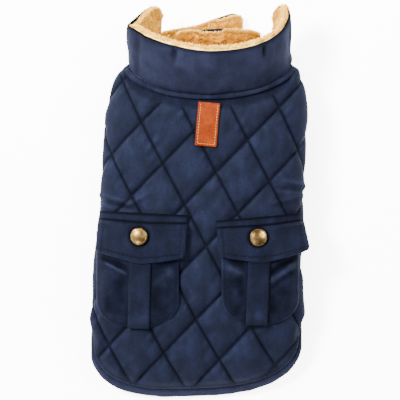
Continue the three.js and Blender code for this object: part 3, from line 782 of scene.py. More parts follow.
def flat_from_lattice(i, j):
    y = QUILT["y"] + i * LATTICE_A[1] + j * LATTICE_B[1]
    rear = ease(-40, -150, y)
    s = (QUILT["s"] + i * LATTICE_A[0] + j * LATTICE_B[0]) * (1 + QUILT_REAR["flare"] * rear)
    return s + QUILT_REAR["drift"] * rear, y


def lattice_from_flat(s, y):
    rear = ease(-40, -150, y)
    p = (s - QUILT_REAR["drift"] * rear) / (1 + QUILT_REAR["flare"] * rear) - QUILT["s"]
    q = y - QUILT["y"]
    det = LATTICE_A[0] * LATTICE_B[1] - LATTICE_A[1] * LATTICE_B[0]
    i = (p * LATTICE_B[1] - q * LATTICE_B[0]) / det
    j = (q * LATTICE_A[0] - p * LATTICE_A[1]) / det
    return i, j


def outline_points(spacing):
    """The flat panel's outline, from the rear's middle up the right side and back down the left."""
    shoulder = NECK_UPPER
    rear_y = HEM["start_y"] - HEM["depth"]
    t = fine(int(60 / spacing) + 20)
    ys = HEM["start_y"] - HEM["depth"] * np.cos(t * math.pi / 2)
    hem = np.stack([np.where(t == 0, 0, panel_edge(ys)), ys], -1)
    ys = np.arange(HEM["start_y"] + spacing, TAB_Y, spacing)
    side = np.stack([panel_edge(ys), ys], -1)
    end_s = np.arange(float(panel_edge(TAB_Y)[0]), shoulder, -spacing)
    tab = np.stack([end_s, np.full(end_s.shape, TAB_Y)], -1)
    ys = np.arange(TAB_Y, NECK["y"], -spacing)
    tab_side = np.stack([np.full(ys.shape, shoulder), ys], -1)
    s = np.arange(shoulder * 0.985, 0, -spacing)
    neck = np.stack([s, neck_edge(s)], -1)
    middle = np.array([[0.0, float(neck_edge(0.0))]])
    right = np.concatenate([hem, side, tab, tab_side, neck])
    right[0] = (0, rear_y)
    left = right[1:][::-1] * np.array([-1, 1])
    return np.concatenate([right, middle, left])


OUTLINE = outline_points(1.0)


def inside_outline(p):
    """Which flat points lie inside the outline, by counting crossings."""
    inside = np.zeros(len(p), bool)
    a, b = OUTLINE, np.roll(OUTLINE, -1, axis=0)
    for (ax, ay), (bx, by) in zip(a, b):
        if ay == by:
            continue
        crosses = (p[:, 1] < max(ay, by)) & (p[:, 1] >= min(ay, by))
        x = ax + (p[:, 1] - ay) / (by - ay) * (bx - ax)
        inside ^= crosses & (p[:, 0] < x)
    return inside


def outline_distance(p, line):
    """Distance of flat points from a line of points, and the nearest place on it."""
    best = np.full(len(p), 1e9)
    near = np.zeros_like(p)
    for chunk in range(0, len(p), 20000):
        part = p[chunk:chunk + 20000]
        a, b = line[:-1], line[1:]
        ab = b - a
        t = ((part[:, None] - a) * ab).sum(-1) / np.maximum((ab * ab).sum(-1), 1e-9)
        spot = a + clamped(t)[..., None] * ab
        d = np.linalg.norm(part[:, None] - spot, axis=-1)
        k = d.argmin(1)
        best[chunk:chunk + 20000] = d[np.arange(len(part)), k]
        near[chunk:chunk + 20000] = spot[np.arange(len(part)), k]
    return best, near


def trimmed_grid(step):
    """A flat grid of the panel whose border vertices lie on the outline."""
    low, high = OUTLINE.min(0), OUTLINE.max(0)
    xs = np.arange(low[0] - step, high[0] + 2 * step, step)
    ys = np.arange(low[1] - step, high[1] + 2 * step, step)
    gx, gy = np.meshgrid(xs, ys)
    p = np.stack([gx.ravel(), gy.ravel()], -1)
    inside = inside_outline(p)
    nu = len(xs)
    faces = sheet_faces(len(ys), nu, 0, True)
    faces = faces[inside[faces].sum(1) >= 3]
    used = np.unique(faces)
    index = np.full(len(p), -1)
    index[used] = np.arange(len(used))
    faces, p = index[faces], p[used]
    edges = border(faces)
    rim = np.unique(edges)
    closed = np.concatenate([OUTLINE, OUTLINE[:1]])
    p[rim] = outline_distance(p[rim], closed)[1]
    return p, faces, edges


def border(faces):
    """Directed edges that only one face has."""
    edges = np.concatenate([faces[:, [k, (k + 1) % 4]] for k in range(4)])
    ids = edges[:, 0].astype(np.int64) * 10_000_000 + edges[:, 1]
    back = edges[:, 1].astype(np.int64) * 10_000_000 + edges[:, 0]
    return edges[~np.isin(ids, back)]


HEM_LINE = OUTLINE[OUTLINE[:, 1] < BINDING["end_y"]]
_turn = int(np.argmax(HEM_LINE[:, 0] < 0))
HEM_LINE = np.concatenate([HEM_LINE[_turn:], HEM_LINE[:_turn]])


def flatness(p):
    """Share of the quilting's rise, from 0 at the neck seam, the hem and the underside to 1."""
    s, y = p[:, 0], p[:, 1]
    side = 1 - ease(upper_at(y) - 4, upper_at(y) + 0.7 * lower_at(y), np.abs(s))
    shoulder = np.minimum(np.abs(s), NECK_UPPER)
    neck = ease(8, 18, neck_edge(shoulder) - y + np.maximum(np.abs(s) - shoulder, 0))
    rear = y < HEM["start_y"] + HEM_TURN
    hem = np.ones(len(p))
    hem[rear] = ease(0, 9, outline_distance(p[rear], HEM_LINE[::3])[0])
    return side * neck * hem


def quilt_height(p):
    """Rise of the quilted face over its base, and its tone, with painted shade in and beside the quilting
    lines.
    """
    i, j = lattice_from_flat(p[:, 0], p[:, 1])
    fi, fj = i - np.floor(i), j - np.floor(j)
    cell_a = CELL / np.linalg.norm(LATTICE_B)
    cell_b = CELL / np.linalg.norm(LATTICE_A)
    da = np.minimum(fi, 1 - fi) * cell_a
    db = np.minimum(fj, 1 - fj) * cell_b
    dome = lambda f: (1 - np.abs(2 * f - 1) ** 3.6) ** 0.45
    rise = PUFF * dome(fi) * dome(fj)
    near_a, near_b = fade(da, 5.5), fade(db, 5.5)
    run_a, run_b = j * np.linalg.norm(LATTICE_B), i * np.linalg.norm(LATTICE_A)
    pucker_a = noise(run_a / 4.6, da / 16 + np.round(i) * 7.3, 11) * near_a * (1 - fade(da, 1.6))
    pucker_b = noise(run_b / 4.6, db / 16 + np.round(j) * 5.1, 12) * near_b * (1 - fade(db, 1.6))
    soft = noise(p[:, 0] / 21, p[:, 1] / 27, 13) * 0.75 + noise(p[:, 0] / 9, p[:, 1] / 11, 14) * 0.34
    rise = rise * (1 + 0.16 * noise(np.floor(i) * 3.7, np.floor(j) * 5.3, 15))
    rise = rise + (pucker_a + pucker_b) * 1.05 + soft * (1 - np.maximum(near_a, near_b))
    rise = rise + creases(PULLS, p[:, 0], p[:, 1], PULL_FADE)
    d = np.minimum(da, db)
    # Painted shade: the tone darkens sharply in each quilting line's groove and softly beside it.
    tone = 0.86 - 0.7 * np.exp(-(d / 0.8) ** 1.5) - 0.07 * fade(d, 4)
    return np.maximum(rise, 0), tone


def painted_slope_light(p, reach=0.9):
    """Painted light and shade: how much lighter the pile is coloured where the quilting's slope turns to the
    light, and darker where it turns away.
    """
    step = unit(np.array(LIGHT_FROM)) * reach
    slope = (quilt_height(p - step)[0] - quilt_height(p + step)[0]) / (2 * reach)
    return 0.24 * np.tanh(slope * 1.3)


def panel_layer(name, p, faces, edges, outer, inner, material, slot, tones):
    """A closed layer of the panel between two heights over its flat points."""
    n = len(p)
    points = np.concatenate([wrapped(p[:, 0], p[:, 1], outer), wrapped(p[:, 0], p[:, 1], inner)])
    sides = np.stack([edges[:, 1], edges[:, 0], edges[:, 0] + n, edges[:, 1] + n], -1)
    all_faces = np.concatenate([faces, faces[:, ::-1] + n, sides]).tolist()
    return build(name, points, all_faces, material, slot, np.concatenate(tones))


def make_quilting():
    p, faces, edges = trimmed_grid(PANEL_STEP)
    rise, tone = quilt_height(p)
    share = flatness(p)
    # Painted shade: where the back rounds down to the neck seam, the hem and the sides, the tone falls
    # towards 0.62; the panel's underside gets a painted shade at 0.8 of the face's tone.
    tone = mix(0.62, tone + painted_slope_light(p), ease(0, 0.8, share))
    back = panel_layer(
        "back_quilted", p, faces, edges, rise * share, -OUTER_CLOTH, VELOUR, "velour", [tone, tone * 0.8],
    )
    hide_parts("back_panel")


def make_lining():
    p, faces, edges = trimmed_grid(LINING_STEP)
    middle = np.array([0, LINING_MIDDLE])
    p = middle + (p - middle) * LINING_SHARE
    soft = noise(p[:, 0] / 7, p[:, 1] / 7, 21) * 0.3
    tone = 0.7 + 0.2 * noise(p[:, 0] / 5, p[:, 1] / 5, 22)
    panel_layer(
        "back_lining", p, faces, edges, -OUTER_CLOTH - 0.2, -WALL - 0.4 + soft,
        BODY_LINING, "fleece", [tone, tone],
    )


def quilt_stitches():
    """A row of stitches along the bottom of every quilting line that shows."""
    paths = []
    for axis in (0, 1):
        for k in range(-7, 8):
            t = np.arange(-7, 7, 0.02)
            i, j = (np.full(t.shape, float(k)), t) if axis == 0 else (t, np.full(t.shape, float(k)))
            s, y = flat_from_lattice(i, j)
            p = np.stack([s, y], -1)
            keep = inside_outline(p)
            keep &= np.abs(s) < upper_at(y) + 6
            for run in np.split(np.arange(len(t)), np.where(np.diff(keep.astype(int)))[0] + 1):
                if keep[run[0]] and len(run) > 4:
                    q = p[run]
                    paths.append((wrapped(q[:, 0], q[:, 1], 0.12), normal_at(q[:, 0], q[:, 1])))
    capsules("quilt_stitches", *stitch_runs(paths), STITCH["radius"], NAVY_THREAD, "velour")


# Hem binding


def make_binding():
    line = HEM_LINE[::2]
    ahead = unit(np.gradient(line, axis=0))
    out = np.stack([ahead[:, 1], -ahead[:, 0]], -1)
    sides = 20
    angles = np.linspace(0, 2 * math.pi, sides, endpoint=False)
    soft = lambda v: np.sign(v) * np.abs(v) ** 0.75
    wide, thick = soft(np.cos(angles)) * BINDING["wide"] / 2, soft(np.sin(angles)) * BINDING["thick"] / 2
    run = np.concatenate([[0], np.cumsum(np.linalg.norm(np.diff(line, axis=0), axis=1))])
    run = run[:, None]
    swell = 1 + 0.05 * noise(run / 6, 1.0, 31) + 0.04 * noise(run / 2.2, angles[None], 32)
    lip = BINDING["lip"] * ease(0.45, 0.1, np.sin(angles)) * ease(0.1, -0.7, np.cos(angles))
    away = 0.15 + BINDING["wide"] / 2 + (wide[None] * swell - lip[None])
    s = line[:, :1] + out[:, :1] * away
    y = line[:, 1:] + out[:, 1:] * away
    n = thick[None] * swell - BINDING["thick"] / 2 - 0.2
    points = wrapped(s, y, n)
    points[..., 2] = np.maximum(points[..., 2], 0.05)
    faces = tube_faces(len(line), sides).tolist()
    faces += [list(range(sides)), list(range(len(line) * sides - 1, (len(line) - 1) * sides - 1, -1))]
    # Painted shade along the binding's inner side, where it meets the panel.
    tone = 1.0 + 0.1 * noise(run / 8, angles[None], 33) - 0.5 * fade(np.cos(angles) + 1, 0.22)
    points = points.reshape(-1, 3)
    binding = build("hem_binding_cloth", points, faces, SMOOTH_VELOUR, "velour", tone.ravel())
    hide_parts("hem_binding")
    q = line + out * BINDING["stitch_at"]
    path = (wrapped(q[:, 0], q[:, 1], -0.3), normal_at(q[:, 0], q[:, 1]))
    capsules("hem_stitches", *stitch_runs([path]), STITCH["radius"], NAVY_THREAD, "velour")


# Collar and neckband

collar = table(COLLAR_KEYS, COLLAR)
NECK_NORMAL = unit(np.array([0, NECK["slope"], 1.0]))


def neck_ring(angle):
    a = np.radians(angle)
    x = NECK["x"] + NECK["half_wide"] * np.sin(a)
    y = NECK["y"] - NECK["half_long"] * np.cos(a)
    return np.stack([x, y, neck_z(y)], -1)


def on_collar(angle, h, n):
    """A point of the collar: angle round it, share h of its height, and n out from its face."""
    angle, h, n = np.broadcast_arrays(*(np.asarray(v, float) for v in (angle, h, n)))
    read = lambda key: smooth_at(collar["angle"], collar[key], angle)
    rise = np.stack([np.zeros(angle.shape), read("rise"), read("up")], -1)
    along = unit(neck_ring(angle + 1) - neck_ring(angle - 1))
    out = unit(np.cross(along, rise))
    off = mix(read("foot"), read("brim"), h) + COLLAR_BOW * np.sin(math.pi * clamped(h)) + n
    return neck_ring(angle) + NECK_NORMAL * COLLAR_LIFT + rise * h[..., None] + out * off[..., None]


def collar_creases(a, h):
    """Soft dents under the rim and a few long shallow folds."""
    out = 0
    for at, high, wide, tall, rise in COLLAR_DENTS:
        out = out + rise * bell(a - at, wide) * bell(h - high, tall)
    return out + 0.35 * noise(a / 11, h * 3, 41) + 0.12 * noise(a / 4, h * 9, 42)


def collar_normal(a, h):
    """The way out of the collar's face."""
    around = on_collar(a + 0.5, h, 0) - on_collar(a - 0.5, h, 0)
    up = on_collar(a, h + 0.01, 0) - on_collar(a, h - 0.01, 0)
    return unit(np.cross(around, up))


def pile_top(a):
    """Share of the collar's height that the fleece reaches: less at the ends' bends, where velour shows."""
    return 1.04 - 0.14 * bell(a + 101, 14) - 0.05 * bell(a - 112, 8)


def pile_lumps(u, v):
    """Rise of curled pile, in millimetres, at flat places u and v."""
    return 0.5 * noise(u / 3.1, v / 2.9, 51) + 0.3 * noise(u / 1.5, v / 1.4, 52)


def collar_pile_thick(h):
    return FLEECE * (0.62 + 0.38 * np.sin(math.pi * np.clip(h + 0.1, 0, 0.9)))


def make_collar():
    a0, a1 = COLLAR[0][0], COLLAR[-1][0]
    a, h = np.meshgrid(*steps("collar", (a0, a1), (1, 0)))
    soft = collar_creases(a, h)
    rim = 1 - 0.9 * fade(1 - h, 0.03) - 0.9 * fade(h, 0.03)
    # Painted shade: dark along the rim and at the foot under the collar's overhang, a painted shadow below
    # the rim on the left, and darker in the dents with lighter ridges beside them.
    tone = 0.95 + 0.08 * noise(a / 9, h * 4, 43) - 0.6 * fade(1 - h, 0.025) - 0.35 * fade(h, 0.05)
    tone = tone - 0.25 * fade(1 - h, 0.1) * ease(-20, -50, a) + 0.14 * np.clip(soft, -2, 1)
    spread = ease(12, 40, np.abs(a)) * ease(-128, -110, a) * ease(118, 104, a)
    foot = (2.8 + 2.6 * ease(45, 70, a)) * spread * fade(h, 0.14)
    outer = on_collar(a, h, soft + 0.6 * (rim - 1) + foot)
    inner = on_collar(a, h, soft * 0.9 - CLOTH + foot * 0.8)
    shell = closed_shell("collar_cloth", outer, inner, SMOOTH_VELOUR, "velour", tone)
    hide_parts("collar_shell")
    at, high = fine(400, a0 + 2, a1 - 2), 0.975
    path = (on_collar(at, high, collar_creases(at, high) + 0.05), collar_normal(at, high))
    capsules("collar_stitches", *stitch_runs([path]), STITCH["radius"], NAVY_THREAD, "velour")


def make_collar_fleece():
    a0, a1 = COLLAR[0][0], COLLAR[-1][0]
    a, h = np.meshgrid(*steps("collar_fleece", (a0, a1), (1, 0)))
    lumps = pile_lumps(a, h * PILE["collar_grain"])
    soft = collar_creases(a, h) * 0.8 - CLOTH
    high = h * pile_top(a)
    outer = on_collar(a, high, soft - 0.25)
    inner = on_collar(a, high, soft - 0.3 - collar_pile_thick(h) - lumps)
    edge = np.minimum(1, np.minimum((1 - h) / 0.05, np.minimum(a - a0, a1 - a) / 4))
    middle = (outer + inner) / 2
    round_it = (0.55 + 0.45 * np.sqrt(clamped(edge)))[..., None]
    outer, inner = mix(middle, outer, round_it), mix(middle, inner, round_it)
    # Painted light and shade: lighter on the pile's lumps and near the top edge, darker in its hollows and
    # lower down inside the collar.
    tone = 0.84 + 0.3 * lumps + 0.2 * fade(1 - h, 0.12)
    lining = closed_shell("collar_fleece", outer, inner, FLEECE_PILE, "fleece", tone)
    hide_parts("collar_lining")


def make_neckband():
    """A narrow band folded over the cut edge of the neck."""
    t, v = np.meshgrid(*steps("neckband", (-1, 1)))
    s = t * NECK_UPPER * NECKBAND["share"]
    slope = (neck_edge(s + 1) - neck_edge(s - 1)) / 2
    out = unit(np.stack([slope, -np.ones(slope.shape)], -1))
    edge = np.stack([s, neck_edge(s)], -1)
    fold = ease(0, 0.4, v)
    over = clamped((v - 0.3) / 0.7)
    crown = 0.9 * np.sin(math.pi * over) ** 0.7
    wrinkle = 0.22 * noise(s / 5, v * 2, 61) + 0.15 * noise(s / 2.1, v * 3, 63)
    ends = ease(1, 0.93, np.abs(t))

    def place(off, n):
        p = edge + out * off[..., None]
        return wrapped(p[..., 0], p[..., 1], n)

    tuck, rise, reach = -WALL - NECKBAND["tuck"], NECKBAND["rise"], NECKBAND["reach"]
    outer = place(mix(-1.0, reach, over), mix(tuck, rise, fold) + (crown + wrinkle) * ends)
    inner = place(mix(-0.3, reach - 0.3, over), mix(tuck, rise - NECKBAND["thick"], fold))
    # Painted shade on the part tucked under the edge and along the band's lower edge.
    tone = 0.8 + 0.12 * noise(s / 6, v, 62) - 0.3 * (1 - fold) - 0.4 * fade(1 - v, 0.07)
    band = closed_shell("neckband_cloth", outer, inner, SMOOTH_VELOUR, "velour", tone)
    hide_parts("neckband")


# Flaps and bands on the table


def painted_pile_shade(v, depth):
    """Painted shade on a flap's pile, growing from its front edge into the neck, under the collar."""
    return depth * (0.55 * ease(0.004, 0.05, v) + 0.32 * ease(0.05, 0.15, v))


def strip_place(keys, bare, base, inset, room, u, v, z):
    last = len(keys["front_x"]) - 1
    index = np.arange(last + 1)
    read = lambda key: smooth_at(index, keys[key], u)
    side = 1 if keys["front_x"][-1] < keys["front_x"][0] else -1
    share = mix(inset, 1 - inset, v)
    free = mix(read("front_x"), read("back_x"), share)
    if bare:
        shown = ease(bare[0] - 4, bare[0] + 2, free) * ease(bare[1] + 4, bare[1] - 2, free)
        share = mix(inset + BARE_EDGE * shown, 1 - inset, v)
    y = mix(read("front_y"), read("back_y"), share)
    seam = seam_x(side, np.minimum(y, TAB_Y)) - side * room
    x = mix(seam, free, np.minimum(u, 1))
    return np.stack([x, y, base + np.maximum(read("lift"), 0) + z], -1)


def make_strip(name, node, rows, thick, base, room, material, slot, bare, depth):
    keys = table(STRIP_KEYS, rows)
    last = len(rows) - 1
    inset = 0.01 if base else 0.0
    us, vs = steps(slot, (0, last))
    if keys["front_x"][-1] < keys["front_x"][0]:
        us = us[::-1]
    u, v = np.meshgrid(us, vs)
    place = lambda z: strip_place(keys, bare, base, inset, room, u, v, z)
    flat = place(np.zeros(u.shape))
    edge = np.minimum(np.minimum(v, 1 - v) * 14, (last - u) * 3)
    rounded = np.sqrt(np.clip(edge, 0.02, 1))
    if slot == "fleece":
        lumps = pile_lumps(flat[..., 0], flat[..., 1])
        top = thick * (0.45 + 0.55 * rounded) + lumps * rounded
        # Painted light and shade on the fleece: lighter on its lumps, darker in its hollows, and the painted
        # shade under the collar towards the neck.
        tone = 0.85 + 0.25 * lumps - painted_pile_shade(v, depth)
    else:
        soft = 0.15 * noise(flat[..., 0] / 9, flat[..., 1] / 9, 71)
        top = thick * (0.7 + 0.3 * rounded) + soft * rounded
        tone = 0.85 + 0.1 * noise(flat[..., 0] / 12, flat[..., 1] / 12, 72)
    made = closed_shell(name, place(top), place(np.zeros(u.shape)), material, slot, tone)
    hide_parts(node)


# Pockets


class Pocket:
    """One pocket's sizes and surfaces. Shares run from its left to its right and from top to bottom."""

    def __init__(self, side, spec):
        self.name = f"pocket_{side}"
        self.spec = spec
        self.folds = BAG_FOLDS[side]
        self.side, self.seed = (-1, 80) if side == "left" else (1, 90)
        self.rest = PUFF + 2 * GAP
        self.middle = (spec["bag_outer"] + spec["bag_inner"]) / 2
        self.half_bag = abs(spec["bag_outer"] - spec["bag_inner"]) / 2

    def across(self, u):
        return u if self.side < 0 else 1 - u

    def bulge(self, u, v):
        sides = np.sin(math.pi * clamped(u)) ** 0.7
        return BAG["bulge"] * sides * np.sin(math.pi * clamped(v + 0.12)) ** 0.6

    def bag_top(self, x, y):
        outer, inner = self.spec["bag_outer"], self.spec["bag_inner"]
        top, low = self.spec["bag_top"], self.spec["bag_low"]
        u = self.across(np.clip((x - outer) / (inner - outer), 0, 1))
        v = np.clip((y - top) / (low - top), 0, 1)
        return self.rest + BAG["thick"] + self.bulge(u, v)

    def strap_top(self, x, y):
        return self.bag_top(x, y) + STRAP["thick"] + 3 * GAP

    def strap_x(self, v):
        return mix(self.spec["strap_top"], self.spec["strap_low"], v)

    def flap(self, u, v):
        """Where a place of the flap lies, and its height over the back."""
        spec = self.spec
        t = self.across(u)
        top_x, top_y = [mix(spec["top_outer"][k], spec["top_inner"][k], t) for k in (0, 1)]
        low_x, low_y = [mix(spec["low_outer"][k], spec["low_inner"][k], t) for k in (0, 1)]
        ends = np.abs(2 * t - 1)
        dip = spec["point"] - (spec["low_outer"][1] + spec["low_inner"][1]) / 2
        tuck = np.where(v > 0.9, 1.6 * ease(0.9, 1, v) * ease(0.8, 1, ends), 0)
        x = mix(top_x, low_x, v) + self.side * np.sign(t - 0.5) * tuck
        y = mix(top_y, low_y + dip * (1 - ends**1.25), v)
        lift = spec["corner_lift"] * ease(0.55, 1, 1 - t) * ease(0.2, 1, v)
        over = ease(FLAP["band"], FLAP["band"] + 0.12, v)
        return x, y, mix(self.rest, self.strap_top(x, y), over) + lift


def make_bag(pocket):
    spec, half_bag, seed = pocket.spec, pocket.half_bag, pocket.seed
    us, vs = steps("bag")
    u, v = np.meshgrid(us, 1 - (1 - vs) ** 1.6)
    y = mix(spec["bag_top"], spec["bag_low"], v)
    past = np.clip(1 - (y - spec["bag_low"]) / BAG["corner"], 0, 0.9995)
    half = half_bag * (1 - past ** BAG["round"]) ** (1 / BAG["round"])
    off_middle = mix(spec["bag_outer"], spec["bag_inner"], pocket.across(u)) - pocket.middle
    x = pocket.middle + off_middle * (half / half_bag)
    soft = pocket.bulge(u, v)
    to_edge = np.minimum(np.minimum(u, 1 - u) * 2 * half, (y - spec["bag_low"]) * 0.9)
    rounded = np.sqrt(clamped(to_edge / 5))
    from_strap = x - pocket.strap_x(v)
    off_strap = ease(STRAP["wide"] * 0.45, STRAP["wide"] * 0.75, np.abs(from_strap))
    folds = creases(pocket.folds, from_strap, y - spec["point"], FOLD_FADE) * off_strap * ease(0, 9, to_edge)
    folds = folds + (0.35 * noise(x / 8, y / 8, seed) + 0.12 * noise(x / 3, y / 3, seed + 1)) * off_strap
    outer = on_back(x, y, pocket.rest + BAG["thick"] * (0.45 + 0.55 * rounded) + soft + folds * 1.4)
    inner = on_back(x, y, pocket.rest + soft * 0.8)
    # Painted sheen near the bag's sides, where it rounds away; a painted highlight on its rim with painted
    # shade just inside it; painted light on the folds' ridges and painted shade in their hollows.
    painted_side_sheen = 0.12 * ease(half_bag - 12, half_bag, np.abs(x - pocket.middle))
    rim = 0.34 * bell(to_edge, 0.8) - 0.12 * bell(to_edge - 2.4, 1.2)
    tone = 0.57 + painted_side_sheen + rim + 0.42 * np.clip(folds, -1, 1) + 0.06 * noise(x / 14, y / 14, seed + 2)
    bag = closed_shell(f"{pocket.name}_bag_cloth", outer, inner, VELOUR, "velour", tone)
    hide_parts(f"{pocket.name}_bag")


def make_strap(pocket):
    spec, seed = pocket.spec, pocket.seed
    u, v = np.meshgrid(*steps("strap"))
    y = mix(spec["point"] + 9, spec["strap_end"], v)
    x = pocket.strap_x(v) + (u - 0.5) * STRAP["wide"]
    edge = np.sqrt(clamped(np.minimum(u, 1 - u) * 9)) * np.sqrt(clamped((1 - v) * 16))
    low = pocket.bag_top(x, y) + 2 * GAP
    wave = 0.22 * noise(x / 9, y / 7, seed + 3) + 0.35 * np.sin(y / 9 + pocket.side)
    outer = on_back(x, y, low + STRAP["thick"] * (0.5 + 0.5 * edge) + wave * edge)
    # A painted highlight near the strap's lower end, painted shade along its edges, and a painted shadow of
    # the flap across its top.
    painted_end_highlight = 0.14 * bell(y - spec["strap_end"] - 8, 6)
    tone = 0.73 + painted_end_highlight + 0.05 * noise(x / 5, y / 9, seed + 4) - 0.12 * (1 - edge)
    tone = tone - 0.12 * ease(spec["point"] - 14, spec["point"], y)
    inner = on_back(x, y, low - 0.2)
    strap = closed_shell(f"{pocket.name}_strap_cloth", outer, inner, VELOUR, "velour", tone)
    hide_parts(f"{pocket.name}_strap")


def make_flap(pocket):
    band, seed = FLAP["band"], pocket.seed
    u, v = np.meshgrid(*steps("flap"))
    x, y, low = pocket.flap(u, v)
    to_side = np.minimum(u, 1 - u)
    rounded = np.sqrt(np.clip(np.minimum(to_side * 26, (1 - v) * 15), 0, 1))
    seam = bell(v - band, 0.018)
    sewn = bell(to_side - FLAP["seam_in"], 0.006) * (v > band)
    across = np.abs(u - 0.5) < 0.5 - FLAP["seam_in"]
    sewn = np.maximum(sewn, bell(v - FLAP["seam_low"], 0.012) * across)
    from_snap = np.hypot(x - pocket.spec["snap"][0], y - pocket.spec["snap"][1])
    dimple = -0.7 * bell(from_snap - 8.2, 2.4)
    soft = 0.4 * noise(x / 13, y / 10, seed + 5) + 0.12 * noise(x / 4, y / 4, seed + 6)
    relief = soft * rounded - 0.55 * seam - 0.3 * sewn + dimple
    outer = on_back(x, y, low + FLAP["thick"] * (0.5 + 0.5 * rounded) + relief)
    # Painted shade in the seam grooves, below the band and along the top edge where the flap meets the back;
    # a painted shadow ring round the snap; a painted highlight along the lower edge.
    under_band = bell(v - band, 0.13) * (v > band)
    tone = 0.71 + 0.07 * noise(x / 15, y / 12, seed + 7) - 0.65 * seam - 0.35 * sewn
    tone = tone - 0.16 * under_band - 0.75 * bell(v, 0.045) + 0.16 * fade(1 - v, 0.03)
    tone = tone - 0.6 * bell(from_snap - 8.3, 1.1)
    flap = closed_shell(f"{pocket.name}_flap_cloth", outer, on_back(x, y, low), VELOUR, "velour", tone)
    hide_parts(f"{pocket.name}_flap")


def pocket_stitches(pocket):
    spec, near, low = pocket.spec, FLAP["seam_in"], FLAP["seam_low"]
    top = FLAP["band"] + 0.02
    lines = []
    for us, vs in (
        (np.full(60, near), fine(59, top, low)),
        (fine(120, near, 1 - near), np.full(121, low)),
        (np.full(60, 1 - near), fine(59, low, top)),
    ):
        lines.append(stitch_path(*pocket.flap(us, vs), FLAP["thick"] - 0.05))
    for shift in (-0.5, 0.5):
        vs = fine(120)
        x = pocket.strap_x(vs) + shift * (STRAP["wide"] - 3.4)
        y = mix(spec["point"] - 1, spec["strap_end"] + 1.5, vs)
        z = pocket.bag_top(x, y) + 2 * GAP + STRAP["thick"]
        lines.append(stitch_path(x, y, z, 0.28 * np.sin(y / 9 + pocket.side) - 0.05))
    made = stitch_runs(lines)
    capsules(f"{pocket.name}_stitches", *made, STITCH["pocket_radius"], NAVY_THREAD, "velour")


def make_pocket(side, spec):
    pocket = Pocket(side, spec)
    make_bag(pocket)
    make_strap(pocket)
    make_flap(pocket)
    pocket_stitches(pocket)
    x, y = spec["snap"]
    base = pocket.strap_top(x, y) + FLAP["thick"]
    foot = on_back(x, y, base)
    east, north = on_back(x + 1, y, base) - foot, on_back(x, y + 1, base) - foot
    make_snap(f"{pocket.name}_snap", foot, unit(np.cross(east, north)), unit(east))


def make_snap(name, foot, normal, east):
    """A press stud's domed cap with a rolled rim."""
    r = SNAP_ACROSS / 2
    profile = [
        (0.0, 0.15), (r - 1.1, 0.15), (r - 0.45, 0.25), (r - 0.1, 0.6), (r, 1.05), (r - 0.1, 1.45),
        (r - 0.45, 1.75), (r - 0.85, 1.85), (r - 1.15, 1.8), (r - 1.35, 1.78), (r - 1.8, 1.98),
        (r - 2.6, 2.28),
        (r * 0.5, 2.68), (r * 0.32, 2.9), (r * 0.16, 3.03), (0.0, 3.08),
    ]
    north = np.cross(normal, east)
    sides = 56
    angles = np.linspace(0, 2 * math.pi, sides, endpoint=False)
    centre = foot + normal * (GAP + 0.4)
    rings = []
    for rad, high in profile[1:-1]:
        round_it = np.cos(angles)[:, None] * east + np.sin(angles)[:, None] * north
        rings.append(centre + normal * high + round_it * rad)
    points = np.concatenate([[centre + normal * profile[0][1]], *rings, [centre + normal * profile[-1][1]]])
    shares = [rad / r for rad, _ in profile[1:-1]]
    # Painted reflection: bright and dark sectors round the cap, with a painted shade on its rim.
    brushing_and_painted_reflection = [0.68 + 0.46 * share * np.sin(2 * angles + 0.9) for share in shares]
    brushing_and_painted_reflection = [b if share < 0.93 else np.full(sides, 0.3) for b, share in zip(brushing_and_painted_reflection, shares)]
    tone = np.concatenate([[0.3], *brushing_and_painted_reflection, [0.85]])
    k = np.arange(sides)
    faces = [[0, 1 + (i + 1) % sides, 1 + i] for i in k]
    for ring in range(len(rings) - 1):
        a = 1 + ring * sides
        faces += [[a + i, a + (i + 1) % sides, a + sides + (i + 1) % sides, a + sides + i] for i in k]
    last = 1 + (len(rings) - 1) * sides
    faces += [[last + i, last + (i + 1) % sides, len(points) - 1] for i in k]
    snap = build(f"{name}_cap", points, faces, BRASS, "brass", tone)
    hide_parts(name)


# Label


def on_label(u, v, n):
    """Where a share of the label lies, at height n over what it rests on."""
    wide, length, lean = LABEL["width"], LABEL["length"], LABEL["lean"]
    x = LABEL["top"][0] - lean * v + (u - 0.5) * wide
    y = LABEL["top"][1] - length * v - lean / length * (u - 0.5) * wide
    return x, y, mix(GAP + PUFF * 0.6, PUFF + GAP, ease(0, 0.3, v)) + n


